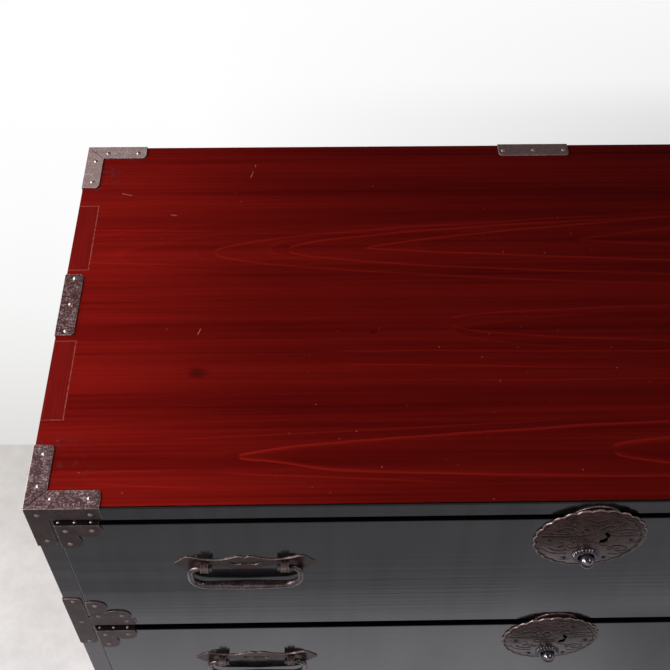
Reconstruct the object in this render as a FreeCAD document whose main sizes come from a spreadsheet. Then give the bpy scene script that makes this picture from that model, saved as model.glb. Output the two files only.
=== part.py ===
"""Tansu chest with three long drawers, iron-bound corners and round lock plates.

Millimetres, +Z up.  X runs along the front from left to right, Y from the front to
the back, and the origin is the centre of the case's underside.  The driving sizes
are in the sheet "Sizes"; what follows from them is worked out in the sheet "Worked".
"""
import FreeCAD, Part
import math
import os
import re
from types import SimpleNamespace

from FreeCAD import Placement, Rotation, Vector

SIZES = (
    # the case
    ("case_width", 910, "outside, left to right"),
    ("case_depth", 420, "outside, front to back"),
    ("board_thickness", 19, "top, bottom and side boards"),
    ("rail_height", 19, "front rail between two drawers"),
    ("rail_depth", 45, "front rail, front to back"),
    ("shelf_thickness", 9, "shelf board behind a rail"),
    ("housing_depth", 6, "how far rails and shelves enter the side boards"),
    ("back_thickness", 9, "back boards"),
    ("back_gap", 0.6, "between two back boards"),
    ("rebate_width", 9, "how far the back boards lap the side boards"),
    ("top_arris", 2, "rounding of the top board's front edge"),
    ("side_arris", 1, "rounding of the side boards' front edges"),
    # the drawers
    ("drawer_height", 177, "drawer front"),
    ("drawer_front_thickness", 18, "drawer front"),
    ("drawer_proud", 2.5, "how far the fronts stand out of the case"),
    ("drawer_side_thickness", 10, "drawer sides and back"),
    ("drawer_side_drop", 6, "sides end this far below the front's top edge"),
    ("drawer_bottom_thickness", 6, "drawer bottom"),
    ("drawer_bottom_lap", 8, "bottom's lap under the front"),
    ("drawer_arris", 0.8, "rounding of the drawer front's edges"),
    ("drawer_side_gap", 0.8, "drawer to side board"),
    ("drawer_floor_gap", 0.5, "drawer to what it slides on"),
    ("drawer_rear_gap", 0.5, "drawer to back boards"),
    ("upper_top_gap", 3.5, "upper drawer to top board"),
    ("lower_top_gap", 7, "middle or lower drawer to the rail over it"),
    # the irons
    ("iron_thickness", 1, "sheet iron"),
    ("strip_width", 17, "arms of the corner irons and rail irons"),
    ("strip_reach", 60, "arm length from the outer corner"),
    ("strip_round", 4, "rounded corner at an arm's end"),
    ("rail_iron_height", 97, "upright arm of a rail iron"),
    ("rail_iron_arm", 16.5, "height of a rail iron's arm"),
    ("edge_iron_length", 72, "plates at the middle of the top's edges"),
    ("foot_clearance", 0.6, "lowest irons to the floor"),
    ("plate_reach", 37.5, "drawer corner plate along each edge"),
    ("plate_lobe", 18, "how deep its lobes are"),
    ("plate_notch", 13, "depth of the notch between its lobes"),
    ("plate_curl", 2, "rounding of its lobes"),
    ("plate_flap", 12, "its flap over the drawer front's top edge"),
    ("keeper_radius", 22, "arc of a keeper plate"),
    ("keeper_height", 13, "keeper plate above the opening"),
    ("keeper_flange", 16, "keeper's flange under the rail"),
    ("keeper_nail_across", 12, "keeper's nails from its middle"),
    ("keeper_nail_up", 5, "keeper's nails above the opening"),
    # the nails
    ("nail_head_radius", 2.1, "domed head"),
    ("nail_head_height", 1.2, "domed head"),
    ("nail_shank_radius", 0.8, "shank"),
    ("nail_shank_length", 7, "shank below the head"),
    ("flap_nail_radius", 1.4, "smaller heads on the flaps"),
    ("nail_inset", 9.5, "nails to the edges of their strip"),
    ("inner_nail_gap", 3, "second nail of a top arm past the crossing strip"),
    ("plate_nail_inset", 7.5, "drawer corner plates' nails to its edges"),
    ("flap_nail_inset", 2.6, "flap's nails behind the drawer's face"),
    # the locks
    ("lock_plate_radius", 47, "lobed round plate"),
    ("lock_plate_dome", 5, "rise of the plate's middle"),
    ("lock_plate_notch", 1.6, "depth of the notches between two lobes"),
    ("lock_plate_drop", 31.5, "plate centre below the drawer's top edge"),
    ("lock_nail_radius", 34, "circle of the plate's six nails"),
    ("collar_lip", 1.2, "collar's rim"),
    ("collar_swell", 1, "how far the collar's side bulges"),
    ("button_drop", 21.5, "button below the plate's centre"),
    ("button_radius", 6.4, "ball of the button"),
    ("button_stand", 10.8, "ball's centre in front of the drawer front"),
    ("button_travel", 5, "how far the button goes in"),
    ("button_clearance", 0.4, "ball to its collar and socket"),
    ("collar_radius", 11.5, "fluted collar round the button"),
    ("collar_rise", 8.2, "collar's rim in front of the drawer front"),
    ("stem_radius", 2.5, "button's stem"),
    ("wedge_depth", 3.6, "button's wedge, front to back, and its slope's rise"),
    ("wedge_width", 8, "button's wedge"),
    ("wedge_root", 3, "wedge below the stem's axis"),
    ("wedge_gap", 0.3, "wedge to the lock case's floor"),
    ("foot_gap", 0.42, "bolt's foot over the wedge's slope"),
    ("foot_depth", 6.5, "bolt's foot, front to back"),
    ("foot_margin", 1, "bolt's foot wider than the wedge, and set back from it"),
    ("bolt_foot_height", 8, "bolt's body above the stem's axis"),
    ("keyway_radius", 9, "hole for the key through the wood"),
    ("keyhole_across", 11, "keyhole to the right of the plate's centre"),
    ("keyhole_up", 9.5, "keyhole above the plate's centre"),
    ("lock_width", 56, "lock case"),
    ("lock_top_drop", 8, "lock case below the drawer's top edge"),
    ("lock_height", 58, "lock case"),
    ("lock_depth", 10.5, "lock case"),
    ("lock_wall", 1.2, "lock case"),
    ("bolt_width", 16, "bolt's tongue"),
    ("bolt_body_width", 40, "bolt below its shoulders"),
    ("bolt_thickness", 4, "bolt"),
    ("bolt_inset", 11, "bolt's mid-plane behind the drawer's face"),
    ("bolt_gap", 1.5, "bolt's tip below the keeper, unlocked"),
    ("bolt_clearance", 1, "bolt to its slots"),
    ("shoulder_drop", 14, "bolt's shoulders below the lock case's top wall"),
    ("spring_thickness", 0.6, "leaf spring"),
    ("spring_slack", 0.2, "leaf spring to what it bears on"),
    # the handles
    ("handle_end", 168, "handle's centre from the end of the case"),
    ("handle_drop", 67, "handle's axis below the drawer's top edge"),
    ("handle_plate_length", 120, "back plate"),
    ("handle_plate_height", 21.6, "back plate, over its end lobes"),
    ("post_spacing", 68, "between the two posts of a handle"),
    ("post_radius", 4.35, "ribbed eye"),
    ("post_length", 7, "ribbed eye, along the handle's axis"),
    ("post_shank_radius", 1.5, "shank through the drawer front"),
    ("shank_clearance", 0.1, "shank to its holes"),
    ("bail_tip_radius", 2.1, "bail where it turns in the eyes"),
    ("bail_middle_radius", 4.25, "bail at the middle of its grip"),
    ("bail_width", 94, "between the middles of its two arms"),
    ("bail_drop", 32, "grip's middle line below the axis"),
    ("bail_shoulder", 9, "bend between tip and arm"),
    ("bail_bend", 14.5, "bend between arm and grip"),
    ("clench_length", 12, "shank's end bent over behind the front"),
    ("clench_width", 2.8, "the same bent end"),
    ("rib_depth", 0.7, "grooves between the eye's ribs"),
    ("crescent_across", 7.5, "slots in the back plate, from its middle"),
    ("crescent_half", 5, "slots, half their length"),
    ("crescent_sag", 4.2, "slots' lower edge below the axis"),
    ("crescent_rise", 2, "slots' upper edge below the axis"),
    ("bail_button_radius", 3, "button at the tip, inside the eye"),
    ("bail_button_length", 2.5, "the same button"),
    ("bail_clearance", 0.3, "bail to its eye"),
    ("button_gap", 0.5, "tip's button to the eye's side"),
)

# derived lengths, as formulas of the driving ones
WORKED = (
    ("upper_opening_height", "drawer_floor_gap + drawer_height + upper_top_gap"),
    ("lower_opening_height", "drawer_floor_gap + drawer_height + lower_top_gap"),
    ("middle_rail_base", "board_thickness + lower_opening_height"),
    ("upper_rail_base", "middle_rail_base + rail_height + lower_opening_height"),
    ("top_base", "upper_rail_base + rail_height + upper_opening_height"),
    ("case_height", "top_base + board_thickness"),
    ("front_face", "-case_depth / 2"),
    ("left_face", "-case_width / 2"),
    ("finger_width", "case_depth / 5"),
    ("dome_radius", "lock_plate_radius + iron_thickness"),
    ("opening_width", "case_width - 2 * board_thickness"),
    ("back_base", "case_depth / 2 - back_thickness"),
    ("lower_drawer_base", "board_thickness + drawer_floor_gap"),
    ("middle_drawer_base", "middle_rail_base + rail_height + drawer_floor_gap"),
    ("upper_drawer_base", "upper_rail_base + rail_height + drawer_floor_gap"),
    ("drawer_width", "opening_width - 2 * drawer_side_gap"),
    ("drawer_face", "front_face - drawer_proud"),
    ("drawer_front_back", "drawer_face + drawer_front_thickness"),
    ("drawer_rear", "back_base - drawer_rear_gap"),
    ("drawer_side_height", "drawer_height - drawer_side_drop - drawer_bottom_thickness"),
    ("drawer_side_start", "drawer_front_back - drawer_side_thickness"),
    ("drawer_finger", "drawer_side_height / 5"),
    ("lock_floor", "drawer_front_back - lock_depth"),
    ("bolt_plane", "drawer_face + bolt_inset"),
    ("wedge_start", "lock_floor - drawer_face + wedge_gap"),
    ("wedge_end", "wedge_start + wedge_depth"),
    ("foot_start", "wedge_start + foot_margin"),
    ("foot_end", "foot_start + foot_depth"),
    ("lock_axis_drop", "lock_plate_drop + button_drop"),
    ("button_bore", "button_radius + button_clearance"),
    ("eye_bore", "bail_tip_radius + bail_clearance"),
    ("handle_across", "case_width / 2 - handle_end"),
    ("post_offset", "post_spacing / 2"),
    ("handle_stand", "iron_thickness + post_radius"),
    ("handle_axis", "drawer_face - handle_stand"),
)

LEVELS = ("upper", "middle", "lower")
LOBES = 24
RIBS = 3
PLATE_NAILS = 6
BACK_BOARDS = 3
# the keyhole's hook, point by point about its own centre
KEYHOLE = ((-2.2, 6.4), (-1.5, 8.3), (-0.5, 8.2), (3.6, 3.4), (2.7, 0.6), (1.9, -0.1),
           (2.2, -4.2), (0.2, -6.8), (-3.9, -7.6), (-4.9, -5.4), (-4.4, -2.9), (-1.7, -1.3),
           (0.8, 1), (-0.6, 3.6))
# a quarter of the handle's back plate, as shares of half its length and half its height
PLATE_QUARTER = ((0, 0.75), (0.035, 0.93), (0.085, 0.97), (0.235, 0.65), (0.465, 0.46),
                 (0.667, 0.74), (0.817, 1), (0.892, 0.72), (0.933, 0.46), (1, 0.07))
# closer than this counts as being in one plane
TOUCHING = 1e-6

doc = FreeCAD.newDocument("tansu_chest")


# ---------------------------------------------------------------- the two sheets

OWNER = {}


def linked(formula):
    """The formula with each size written as Sheet.size."""
    return re.sub(r"[a-z_]+", lambda word: OWNER.get(word.group(), word.group()), formula)


def fill_sheets():
    sizes = doc.addObject("Spreadsheet::Sheet", "Sizes")
    for row, (alias, number, note) in enumerate(SIZES, 1):
        sizes.set(f"A{row}", alias)
        sizes.set(f"B{row}", str(number))
        sizes.set(f"C{row}", note)
        sizes.setAlias(f"B{row}", alias)
        OWNER[alias] = "Sizes." + alias
    worked = doc.addObject("Spreadsheet::Sheet", "Worked")
    for row, (alias, formula) in enumerate(WORKED, 1):
        worked.set(f"A{row}", alias)
        worked.set(f"B{row}", "=" + linked(formula).replace("Worked.", ""))
        worked.setAlias(f"B{row}", alias)
        OWNER[alias] = "Worked." + alias
    doc.recompute()
    values = {alias: float(sizes.get(alias)) for alias, _, _ in SIZES}
    values.update({alias: float(worked.get(alias)) for alias, _ in WORKED})
    return SimpleNamespace(**values)


size = fill_sheets()


# ---------------------------------------------------------------- small helpers

NODES = {}


def node(name, item):
    """Gives the item its name as a piece of the chest."""
    item.Label = name
    NODES[name] = item
    return item


def bind(item, **formulas):
    for prop, formula in formulas.items():
        item.setExpression(prop, linked(formula))
    return item


def locate(item, x="0", y="0", z="0"):
    for axis, formula in zip("xyz", (x, y, z)):
        item.setExpression("Placement.Base." + axis, linked(formula))
    return item


def box(name, lengths, corner):
    """A Part::Box; its three lengths and its lowest corner are formulas."""
    item = doc.addObject("Part::Box", name)
    bind(item, Length=lengths[0], Width=lengths[1], Height=lengths[2])
    return locate(item, *corner)


def cut(name, base, tools):
    """The base with all the tools taken out of it."""
    tool = tools[0]
    if len(tools) > 1:
        tool = doc.addObject("Part::MultiFuse", name + "_tools")
        tool.Shapes = tools
    item = doc.addObject("Part::Cut", name)
    item.Base = base
    item.Tool = tool
    return item


def rounded(name, base, radius, picked):
    """The base with the edges that picked() accepts rounded."""
    doc.recompute()
    item = doc.addObject("Part::Fillet", name)
    item.Base = base
    length = getattr(size, radius)
    edges = enumerate(base.Shape.Edges, 1)
    item.Edges = [(index, length, length) for index, edge in edges if picked(edge)]
    return item


def body(name):
    return doc.addObject("PartDesign::Body", name)


def sketch(owner, name, role, curves, lift="0"):
    """Curves drawn on one of the body's own planes, lifted along its normal."""
    plane = next(item for item in owner.Origin.OriginFeatures if item.Role == role)
    item = owner.newObject("Sketcher::SketchObject", name)
    item.AttachmentSupport = [(plane, "")]
    item.MapMode = "FlatFace"
    item.addGeometry(curves, False)
    item.setExpression("AttachmentOffset.Base.z", linked(lift))
    return item


def pad(owner, name, drawn, length, back=False):
    item = owner.newObject("PartDesign::Pad", name)
    item.Profile = drawn
    item.Reversed = back
    return bind(item, Length=length)


def pocket(owner, name, drawn, length, back=False):
    """A pocket, checked to have taken something away."""
    doc.recompute()
    before = owner.Shape.Volume
    item = owner.newObject("PartDesign::Pocket", name)
    item.Profile = drawn
    item.Reversed = back
    bind(item, Length=length)
    doc.recompute()
    if owner.Shape.Volume >= before:
        raise RuntimeError(name + " cuts nothing")
    return item


def revolve(owner, name, drawn, axis="V_Axis"):
    item = owner.newObject("PartDesign::Revolution", name)
    item.Profile = drawn
    item.ReferenceAxis = (drawn, [axis])
    item.Angle = 360
    return item


def point(pair):
    return Vector(pair[0], pair[1], 0)


def outline(*steps):
    """A closed outline: each step is a point, or a pair (through, point) for an arc."""
    here = steps[0]
    ends = isinstance(steps[-1][0], tuple) and steps[-1][1] == here
    curves = []
    for step in steps[1:] if ends else steps[1:] + (here,):
        if isinstance(step[0], tuple):
            through, there = step
            curves.append(Part.Arc(point(here), point(through), point(there)))
        else:
            there = step
            curves.append(Part.LineSegment(point(here), point(there)))
        here = there
    return curves


def circle(radius, across=0, up=0):
    return [Part.Circle(Vector(across, up, 0), Vector(0, 0, 1), radius)]


def corner_arc(centre, radius, middle, finish):
    """The step of an outline that rounds a corner: angles in degrees."""
    def at(angle):
        turn = math.radians(angle)
        return (centre[0] + radius * math.cos(turn), centre[1] + radius * math.sin(turn))
    return (at(middle), at(finish))


def moved(shape, x=0, y=0, z=0):
    return shape.translated(Vector(x, y, z))


def flipped(shape, across=False, down=False, back=False):
    """The shape mirrored left to right, upside down, or front to back."""
    copy = shape
    for wanted, normal in ((across, (1, 0, 0)), (down, (0, 0, 1)), (back, (0, 1, 0))):
        if wanted:
            copy = copy.mirror(Vector(), Vector(*normal))
    return copy


def group(name, shapes):
    """A node made of separate solids that are alike."""
    item = doc.addObject("Part::Feature", name)
    item.Shape = Part.makeCompound([solid for shape in shapes for solid in shape.Solids])
    return node(name, item)


def solid_of(item):
    doc.recompute()
    return item.Shape


# ---------------------------------------------------------------- case

def top_and_bottom():
    """Five-part box joints: these boards keep the first, third and fifth fingers."""
    for name, base in (("top_board", "top_base"), ("bottom_board", "0")):
        blank = box(name + "_blank", ("case_width", "case_depth", "board_thickness"),
                    ("left_face", "front_face", base))
        if name == "top_board":
            crest = size.case_height - size.board_thickness / 2
            blank = rounded(name + "_round", blank, "top_arris", lambda edge: (
                abs(edge.CenterOfMass.y - size.front_face) < TOUCHING
                and edge.CenterOfMass.z > crest
                and edge.Length > size.case_width / 2))
        notches = [
            box(f"{name}_notch_{side}_{finger}",
                ("board_thickness", "finger_width", "board_thickness"),
                (x, f"front_face + {finger} * finger_width", base))
            for side, x in (("left", "left_face"), ("right", "-left_face - board_thickness"))
            for finger in (1, 3)]
        if name == "top_board":
            notches.append(mortise("top", "top_base"))
        node(name, cut(name + "_blank_notched", blank, notches))


def rails_and_shelves():
    """Two rails with a mortise for the bolt under each, and the shelves behind them."""
    length = "opening_width + 2 * housing_depth"
    left = "left_face + board_thickness - housing_depth"
    rails, shelves = [], []
    for name in ("middle", "upper"):
        base = name + "_rail_base"
        rails.append(box(name + "_rail", (length, "rail_depth", "rail_height"),
                         (left, "front_face", base)))
        shelves.append(box(name + "_shelf",
                           (length, "back_base - front_face - rail_depth", "shelf_thickness"),
                           (left, "front_face + rail_depth",
                            base + " + rail_height - shelf_thickness")))
    return rails, shelves


def mortise(name, base):
    """The pocket over a keeper that the bolt rises into."""
    return box(name + "_mortise",
               ("bolt_width + 2 * bolt_clearance", "bolt_thickness + 2 * bolt_clearance",
                "button_travel"),
               ("-bolt_width / 2 - bolt_clearance",
                "bolt_plane - bolt_thickness / 2 - bolt_clearance", base))


def side_boards(housed):
    """Fingers two and four at the ends, and housings for the rails and shelves."""
    for side, x, outer in (("left", "left_face", size.left_face),
                           ("right", "-left_face - board_thickness", -size.left_face)):
        blank = box(f"{side}_side_blank", ("board_thickness", "case_depth", "case_height"),
                    (x, "front_face", "0"))
        blank = rounded(f"{side}_side_round", blank, "side_arris", lambda edge: (
            edge.Length > size.case_height / 2
            and abs(edge.CenterOfMass.y - size.front_face) < TOUCHING
            and abs(edge.CenterOfMass.x - outer) < TOUCHING))
        gaps = [
            box(f"{side}_side_gap_{end}_{finger}",
                ("board_thickness", "finger_width", "board_thickness"),
                (x, f"front_face + {finger} * finger_width", z))
            for end, z in (("low", "0"), ("high", "top_base")) for finger in (0, 2, 4)]
        inner = "-board_thickness" if side == "right" else "board_thickness - rebate_width"
        rebate = box(f"{side}_side_rebate",
                     ("rebate_width", "back_thickness", "top_base - board_thickness"),
                     (f"{'-' if side == 'right' else ''}left_face + {inner}", "back_base",
                      "board_thickness"))
        node(f"{side}_side_board", cut(f"{side}_side", blank, gaps + housed + [rebate]))


def back_boards():
    """Boards side by side between the case boards, flush with its back edges."""
    height = f"(top_base - board_thickness - {BACK_BOARDS - 1} * back_gap) / {BACK_BOARDS}"
    shapes = [
        solid_of(box(f"back_board_{row}",
                     ("opening_width + 2 * rebate_width", "back_thickness", height),
                     ("left_face + board_thickness - rebate_width", "back_base",
                      f"board_thickness + {row} * ({height} + back_gap)")))
        for row in range(BACK_BOARDS)]
    group("back_boards", shapes)
    return shapes


# ---------------------------------------------------------------- irons of the case

def strip_corner():
    """An L of two strips with the corner away from the edge rounded at each end."""
    reach, width, bend = size.strip_reach, size.strip_width, size.strip_round
    return outline(
        (0, 0), (reach, 0), (reach, width - bend),
        corner_arc((reach - bend, width - bend), bend, 45, 90), (width, width),
        (width, reach - bend), corner_arc((width - bend, reach - bend), bend, 45, 90),
        (0, reach))


def downward(curves):
    """The outline turned over about its first axis."""
    flat = FreeCAD.Matrix()
    flat.A22 = -1
    for curve in curves:
        curve.transform(flat)
    return curves


def corner_iron(name, over_top):
    """One bent sheet over the case's corner; the origin is the sheet's outer corner."""
    iron = body(name)
    for plane, face in (("XZ_Plane", "front"), ("YZ_Plane", "side")):
        drawn = sketch(iron, f"{name}_{face}_sketch", plane, downward(strip_corner()))
        pad(iron, f"{name}_{face}", drawn, "iron_thickness", back=plane == "XZ_Plane")
    if over_top:
        drawn = sketch(iron, f"{name}_top_sketch", "XY_Plane", strip_corner())
        pad(iron, f"{name}_top", drawn, "iron_thickness", back=True)
    return iron


def corner_irons():
    upper = solid_of(corner_iron("top_corner_iron", True))
    lower = solid_of(corner_iron("foot_corner_iron", False))
    x = size.left_face - size.iron_thickness
    y = size.front_face - size.iron_thickness
    shapes = []
    for across in (False, True):
        for back in (False, True):
            crown = moved(upper, x, y, size.case_height + size.iron_thickness)
            foot = moved(flipped(lower, down=True), x, y, size.foot_clearance)
            shapes += [flipped(piece, across=across, back=back) for piece in (crown, foot)]
    group("corner_irons", shapes)


def strip_tee():
    """An upright strip with an arm to the right at its middle, from the outer edge."""
    tall, arm, reach = size.rail_iron_height / 2, size.rail_iron_arm / 2, size.strip_reach
    width, bend = size.strip_width, size.strip_round
    return outline(
        (0, -tall), (width - bend, -tall),
        corner_arc((width - bend, bend - tall), bend, -45, 0), (width, -arm),
        (reach - bend, -arm), corner_arc((reach - bend, bend - arm), bend, -45, 0),
        (reach, arm - bend), corner_arc((reach - bend, arm - bend), bend, 45, 90),
        (width, arm), (width, tall - bend),
        corner_arc((width - bend, tall - bend), bend, 45, 90), (0, tall))


def rail_irons():
    """A bent tee at each end of each rail, on the front and round onto the side."""
    iron = body("rail_iron")
    for plane, face in (("XZ_Plane", "front"), ("YZ_Plane", "side")):
        drawn = sketch(iron, f"rail_iron_{face}_sketch", plane, strip_tee())
        pad(iron, f"rail_iron_{face}", drawn, "iron_thickness", back=plane == "XZ_Plane")
    shape = solid_of(iron)
    x = size.left_face - size.iron_thickness
    y = size.front_face - size.iron_thickness
    shapes = [flipped(moved(shape, x, y, base + size.rail_height / 2), across=across)
              for base in (size.middle_rail_base, size.upper_rail_base)
              for across in (False, True)]
    group("rail_irons", shapes)


def edge_irons():
    """Angle plates at the middle of the top's left, right and back edges."""
    half, width, bend = size.edge_iron_length / 2, size.strip_width, size.strip_round
    low = (width - bend, bend - half)
    high = (width - bend, half - bend)
    iron = body("edge_iron")
    drawn = sketch(iron, "edge_iron_top_sketch", "XY_Plane", outline(
        (0, -half), (width - bend, -half), corner_arc(low, bend, -45, 0),
        (width, half - bend), corner_arc(high, bend, 45, 90), (0, half)))
    pad(iron, "edge_iron_top", drawn, "iron_thickness", back=True)
    drawn = sketch(iron, "edge_iron_side_sketch", "YZ_Plane", outline(
        (-half, 0), (half, 0), (half, bend - width),
        corner_arc((half - bend, bend - width), bend, -45, -90),
        (bend - half, -width), corner_arc((bend - half, bend - width), bend, -135, -180)))
    pad(iron, "edge_iron_side", drawn, "iron_thickness")
    left = solid_of(iron)
    x = size.left_face - size.iron_thickness
    z = size.case_height + size.iron_thickness
    rear = left.copy()
    rear.rotate(Vector(), Vector(0, 0, 1), -90)
    rear_y = -size.front_face + size.iron_thickness
    group("edge_irons", [moved(left, x, 0, z), flipped(moved(left, x, 0, z), across=True),
                         moved(rear, 0, rear_y, z)])


def lock_keepers():
    """Round-topped plates over the drawers, each with a slotted flange for the bolt."""
    radius, tall = size.keeper_radius, size.keeper_height
    half = math.sqrt(radius ** 2 - (radius - tall) ** 2)
    keeper = body("lock_keeper")
    drawn = sketch(keeper, "keeper_face_sketch", "XZ_Plane",
                   outline((-half, 0), (half, 0), ((0, tall), (-half, 0))))
    pad(keeper, "keeper_face", drawn, "iron_thickness")
    front, rear = -size.iron_thickness, size.keeper_flange - size.iron_thickness
    drawn = sketch(keeper, "keeper_flange_sketch", "XY_Plane",
                   outline((-half, front), (half, front), (half, rear), (-half, rear)))
    pad(keeper, "keeper_flange", drawn, "iron_thickness", back=True)
    across = size.bolt_width / 2 + size.bolt_clearance
    middle = size.bolt_plane - size.front_face
    deep = size.bolt_thickness / 2 + size.bolt_clearance
    drawn = sketch(keeper, "keeper_slot_sketch", "XY_Plane", outline(
        (-across, middle - deep), (across, middle - deep),
        (across, middle + deep), (-across, middle + deep)))
    pocket(keeper, "keeper_slot", drawn, "iron_thickness")
    shape = solid_of(keeper)
    group("lock_keepers", [moved(shape, 0, size.front_face, base) for base in (
        size.middle_rail_base, size.upper_rail_base, size.top_base)])


# ---------------------------------------------------------------- nails

def nail(radius):
    """A domed nail pointing down: its head stands on the plane z = 0."""
    rise, shank = size.nail_head_height * radius / size.nail_head_radius, size.nail_shank_radius
    profile = Part.Wire([curve.toShape() for curve in outline(
        (0, rise), ((radius / 2, rise * 3 / 4), (radius, 0)), (shank, 0),
        (shank, -size.nail_shank_length), (0, -size.nail_shank_length))])
    profile.rotate(Vector(), Vector(1, 0, 0), 90)
    return Part.Face(profile).revolve(Vector(), Vector(0, 0, 1), 360)


def nails_at(spots, facing, radius=None):
    """Nails at the spots (x, y, z), whose heads look along the facing direction."""
    shape = nail(radius or size.nail_head_radius)
    turn = Rotation(Vector(0, 0, 1), Vector(*facing))
    shapes = []
    for spot in spots:
        copy = shape.copy()
        copy.Placement = Placement(Vector(*spot), turn)
        shapes.append(copy)
    return shapes


def case_nails():
    skin, inset = size.iron_thickness, size.nail_inset
    end = size.strip_reach - inset + skin
    near, far = size.strip_width + skin + size.inner_nail_gap, end
    left, front, crown = size.left_face - skin, size.front_face - skin, size.case_height + skin
    corner = []
    flat = ((inset, far), (inset, near), (near, inset), (far, inset))
    corner += nails_at([(left + a, front + b, crown) for a, b in flat], (0, 0, 1))
    upright = ((inset, inset), (far, inset), (inset, far))
    for z, way in ((crown, -1), (size.foot_clearance, 1)):
        corner += nails_at([(left + a, front, z + way * b) for a, b in upright], (0, -1, 0))
        corner += nails_at([(left, front + a, z + way * b) for a, b in upright], (-1, 0, 0))
    shapes = [flipped(one, across=across, back=back)
              for one in corner for across in (False, True) for back in (False, True)]
    tall = size.rail_iron_height / 2 - inset / 2
    tee = ((inset, tall), (inset, 0), (inset, -tall), (far, 0))
    sides = []
    for base in (size.middle_rail_base, size.upper_rail_base):
        middle = base + size.rail_height / 2
        sides += nails_at([(left + a, front, middle + b) for a, b in tee], (0, -1, 0))
        sides += nails_at([(left, front + a, middle + b) for a, b in tee], (-1, 0, 0))
    along = size.edge_iron_length / 2 - inset / 2
    thirds = (-along, 0, along)
    sides += nails_at([(left + inset, b, crown) for b in thirds], (0, 0, 1))
    sides += nails_at([(left, b, crown - inset) for b in thirds], (-1, 0, 0))
    rows = (size.top_base - size.board_thickness) / (2 * BACK_BOARDS)
    across = -size.left_face - size.board_thickness + size.rebate_width / 2
    sides += nails_at([(-across, -size.front_face, size.board_thickness + rows * (row + 0.5))
                       for row in range(2 * BACK_BOARDS)], (0, 1, 0))
    shapes += [flipped(one, across=across) for one in sides for across in (False, True)]
    shapes += nails_at([(b, -front - inset, crown) for b in thirds], (0, 0, 1))
    shapes += nails_at([(b, -front, crown - inset) for b in thirds], (0, 1, 0))
    shapes += nails_at([(way * size.keeper_nail_across, front, base + size.keeper_nail_up)
                        for way in (-1, 1) for base in (
                            size.middle_rail_base, size.upper_rail_base, size.top_base)],
                       (0, -1, 0))
    group("case_nails", shapes)


# ---------------------------------------------------------------- drawers

def drawer_boards(level):
    """Front lapped over the sides, box joints at the back, bottom under them all."""
    name, base = level + "_drawer", level + "_drawer_base"
    wall = "drawer_side_thickness"
    left = "-drawer_width / 2"
    blank = box(name + "_front_blank", ("drawer_width", "drawer_front_thickness",
                                        "drawer_height"), (left, "drawer_face", base))
    blank = rounded(name + "_front_round", blank, "drawer_arris", lambda edge: (
        abs(edge.CenterOfMass.y - size.drawer_face) < TOUCHING))
    side_base = base + " + drawer_bottom_thickness"
    side_length = "drawer_rear - drawer_side_start"
    laps = [box(f"{name}_lap_{side}", (wall, wall, "drawer_side_height"),
                (x, "drawer_side_start", side_base))
            for side, x in (("left", left), ("right", f"-({left}) - {wall}"))]
    laps.append(box(name + "_bottom_lap", ("drawer_width", "drawer_bottom_lap",
                                           "drawer_bottom_thickness"),
                    (left, "drawer_front_back - drawer_bottom_lap", base)))
    node(name + "_front", cut(name + "_front_board", blank, laps + lock_cuts(level)))
    fingers = range(5)
    for side, x in (("left", left), ("right", f"-({left}) - {wall}")):
        blank = box(f"{name}_{side}_blank", (wall, side_length, "drawer_side_height"),
                    (x, "drawer_side_start", side_base))
        gaps = [box(f"{name}_{side}_gap_{row}", (wall, wall, "drawer_finger"),
                    (x, f"drawer_rear - {wall}", f"{side_base} + {row} * drawer_finger"))
                for row in fingers if row % 2]
        node(f"{name}_{side}_side", cut(f"{name}_{side}_board", blank, gaps))
    blank = box(name + "_back_blank", ("drawer_width", wall, "drawer_side_height"),
                (left, f"drawer_rear - {wall}", side_base))
    gaps = [box(f"{name}_back_gap_{side}_{row}", (wall, wall, "drawer_finger"),
                (x, f"drawer_rear - {wall}", f"{side_base} + {row} * drawer_finger"))
            for side, x in (("left", left), ("right", f"-({left}) - {wall}"))
            for row in fingers if row % 2 == 0]
    node(name + "_back", cut(name + "_back_board", blank, gaps))
    node(name + "_bottom", box(name + "_bottom_board", (
        "drawer_width", "drawer_rear - drawer_front_back + drawer_bottom_lap",
        "drawer_bottom_thickness"), (left, "drawer_front_back - drawer_bottom_lap", base)))


def rod(name, radius, length, x, y, z):
    """A cylinder that runs towards the back from its centre at x, y, z."""
    item = doc.addObject("Part::Cylinder", name)
    bind(item, Radius=radius, Height=length)
    locate(item, x, y, z)
    item.Placement.Rotation = Rotation(Vector(1, 0, 0), -90)
    return item


def lock_cuts(level):
    """The room for the lock and the handles in a drawer front."""
    name, top = level + "_front", level + "_drawer_base + drawer_height"
    button = f"{top} - lock_axis_drop"
    cuts = [
        box(name + "_lock_room", ("lock_width", "lock_depth", "lock_height"),
            ("-lock_width / 2", "lock_floor", f"{top} - lock_top_drop - lock_height")),
        box(name + "_bolt_way", ("bolt_width + 2 * bolt_clearance",
                                 "bolt_thickness + 2 * bolt_clearance", "lock_top_drop"),
            ("-bolt_width / 2 - bolt_clearance",
             "bolt_plane - bolt_thickness / 2 - bolt_clearance", f"{top} - lock_top_drop")),
        rod(name + "_stem_hole", "stem_radius + button_clearance",
            "drawer_front_thickness - lock_depth", "0", "drawer_face", button),
        rod(name + "_button_socket", "button_bore",
            "button_bore + button_travel - button_stand + button_clearance",
            "0", "drawer_face", button),
        rod(name + "_keyway", "keyway_radius", "drawer_front_thickness - lock_depth",
            "keyhole_across", "drawer_face", f"{top} - lock_plate_drop + keyhole_up")]
    for side, x in (("left", "-handle_across"), ("right", "handle_across")):
        for way, sign in (("near", "-"), ("far", "+")):
            cuts.append(rod(f"{name}_{side}_{way}_hole", "post_shank_radius + shank_clearance",
                            "drawer_front_thickness", f"{x} {sign} post_offset",
                            "drawer_face", f"{top} - handle_drop"))
    return cuts


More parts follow.
